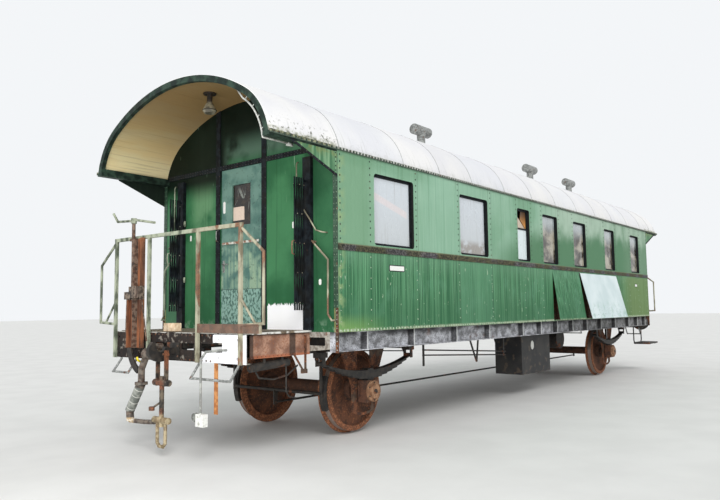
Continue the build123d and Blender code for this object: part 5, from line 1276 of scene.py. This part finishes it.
def window_flap():
    """The wooden flap and the blind in the open top of the front side's narrow window."""
    place = (-0.845, -1.486, 2.880)
    flap, blind = Batch(), Batch()
    outline = [(-0.085, 0.005), (0.120, -0.140), (0.135, 0.150), (-0.070, 0.150)]
    flap.slab(outline, place, (1, 0, 0), 0.008)
    flap.make("window_flap", "flap", "interior_wood", smooth=False)
    outline = [(-0.165, 0.045), (-0.165, -0.140), (0.100, -0.140)]
    blind.slab(outline, place, (1, 0, 0), 0.004)
    blind.make("window_blind", "blind", "interior_wood", smooth=False)


def near_end_fittings():
    """Wood block and cock handle at the near end, and rivets of both ends' frames."""
    block, knob, rivets = Batch(), Batch(), Batch()
    block.block((-6.290, 0.02, 1.2955), (-6.205, 0.225, 1.385), 0.004)
    block.make("wood_block", "pink_wood", "deck_wood", smooth=False)
    bends = ((-6.40, 0.490, 0.930), (-6.44, 0.480, 0.950), (-6.455, 0.475, 0.985))
    knob.tube([(x, y, z + rail) for x, y, z in bends], 0.012)
    knob.make("cock_handle", "yellow", "pipe_lagging")
    beam_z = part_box("platform_beams")[0].z + 0.016
    for way, wall_x in ends:
        x, guide_x = way * headstock_x, way * (headstock_x + 0.014)
        normal = (way, 0, 0)
        for z in (1.004, 1.262):
            for start, end in ((-0.62, -0.14), (0.14, 0.62)):
                rivets.row((x, start, z), (x, end, z), 0.070, normal, radius=0.010, height=0.006)
        for y in (-0.085, 0.085):
            for z in (1.035, 1.145):
                rivets.rivet((guide_x, y, z), normal, 0.014, 0.010, 6)
        for side in (-1, 1):
            y = side * 1.142
            rivets.row(
                (wall_x + way * 0.32, y, beam_z), (way * 6.20, y, beam_z), 0.055, (0, side, 0),
                radius=0.005, height=0.003,
            )
    rivets.make("headstock_rivets", "rust", "rusty_steel")


def running_gear_fittings():
    """Bolts on the axle covers and the axle guards."""
    bolts = Batch()
    cover_y, cap_y, guard_y, bolt_circle = 1.121, 1.143, 0.960, 0.105
    guard_bolts = (
        # Distances along X, heights, radius, height of the head
        ((-0.36, -0.27, -0.18, 0.18, 0.27, 0.36), (1.08, 1.135), 0.012, 0.008),
        ((-0.172, 0.172), (0.72, 0.80), 0.010, 0.007),
    )
    for middle in (-axle_x, axle_x):
        for side in (-1, 1):
            normal = (0, side, 0)
            for step in range(6):
                turn = math.tau * (step + 0.5) / 6
                x, z = middle + bolt_circle * math.cos(turn), axle_z + bolt_circle * math.sin(turn)
                bolts.rivet((x, side * cover_y, z), normal, 0.011, 0.009, 6)
            bolts.rivet((middle, side * cap_y, axle_z), normal, 0.030, 0.016, 12)
            for places, heights, radius, height in guard_bolts:
                for x in places:
                    for z in heights:
                        bolts.rivet((middle + x, side * guard_y, z), normal, radius, height)
    bolts.make("running_gear_bolts", "dark_rust", "rusty_steel")


def make_floor():
    """Lays the pale floor under the wheels."""
    corners = [(x * floor_half, y * floor_half, 0) for x, y in ((-1, -1), (1, -1), (1, 1), (-1, 1))]
    mesh = bpy.data.meshes.new("floor")
    mesh.from_pydata(corners, [], [(0, 1, 2, 3)])
    floor = bpy.data.objects.new("floor", mesh)
    bpy.context.scene.collection.objects.link(floor)
    g = Graph("floor", 0.85)
    g.colour = g.tones(g.noise(1.5, detail=6), 0.3, 0.7, (220, 219, 216), (226, 225, 222))
    mesh.materials.append(g.finish())


place_camera()
light_scene()
make_floor()
side_rivets()
end_rivets()
gusset_trim()
roof_seam_strips()
hood_conduit()
plates_and_card()
door_fittings()
gate_fittings()
window_flap()
near_end_fittings()
running_gear_fittings()
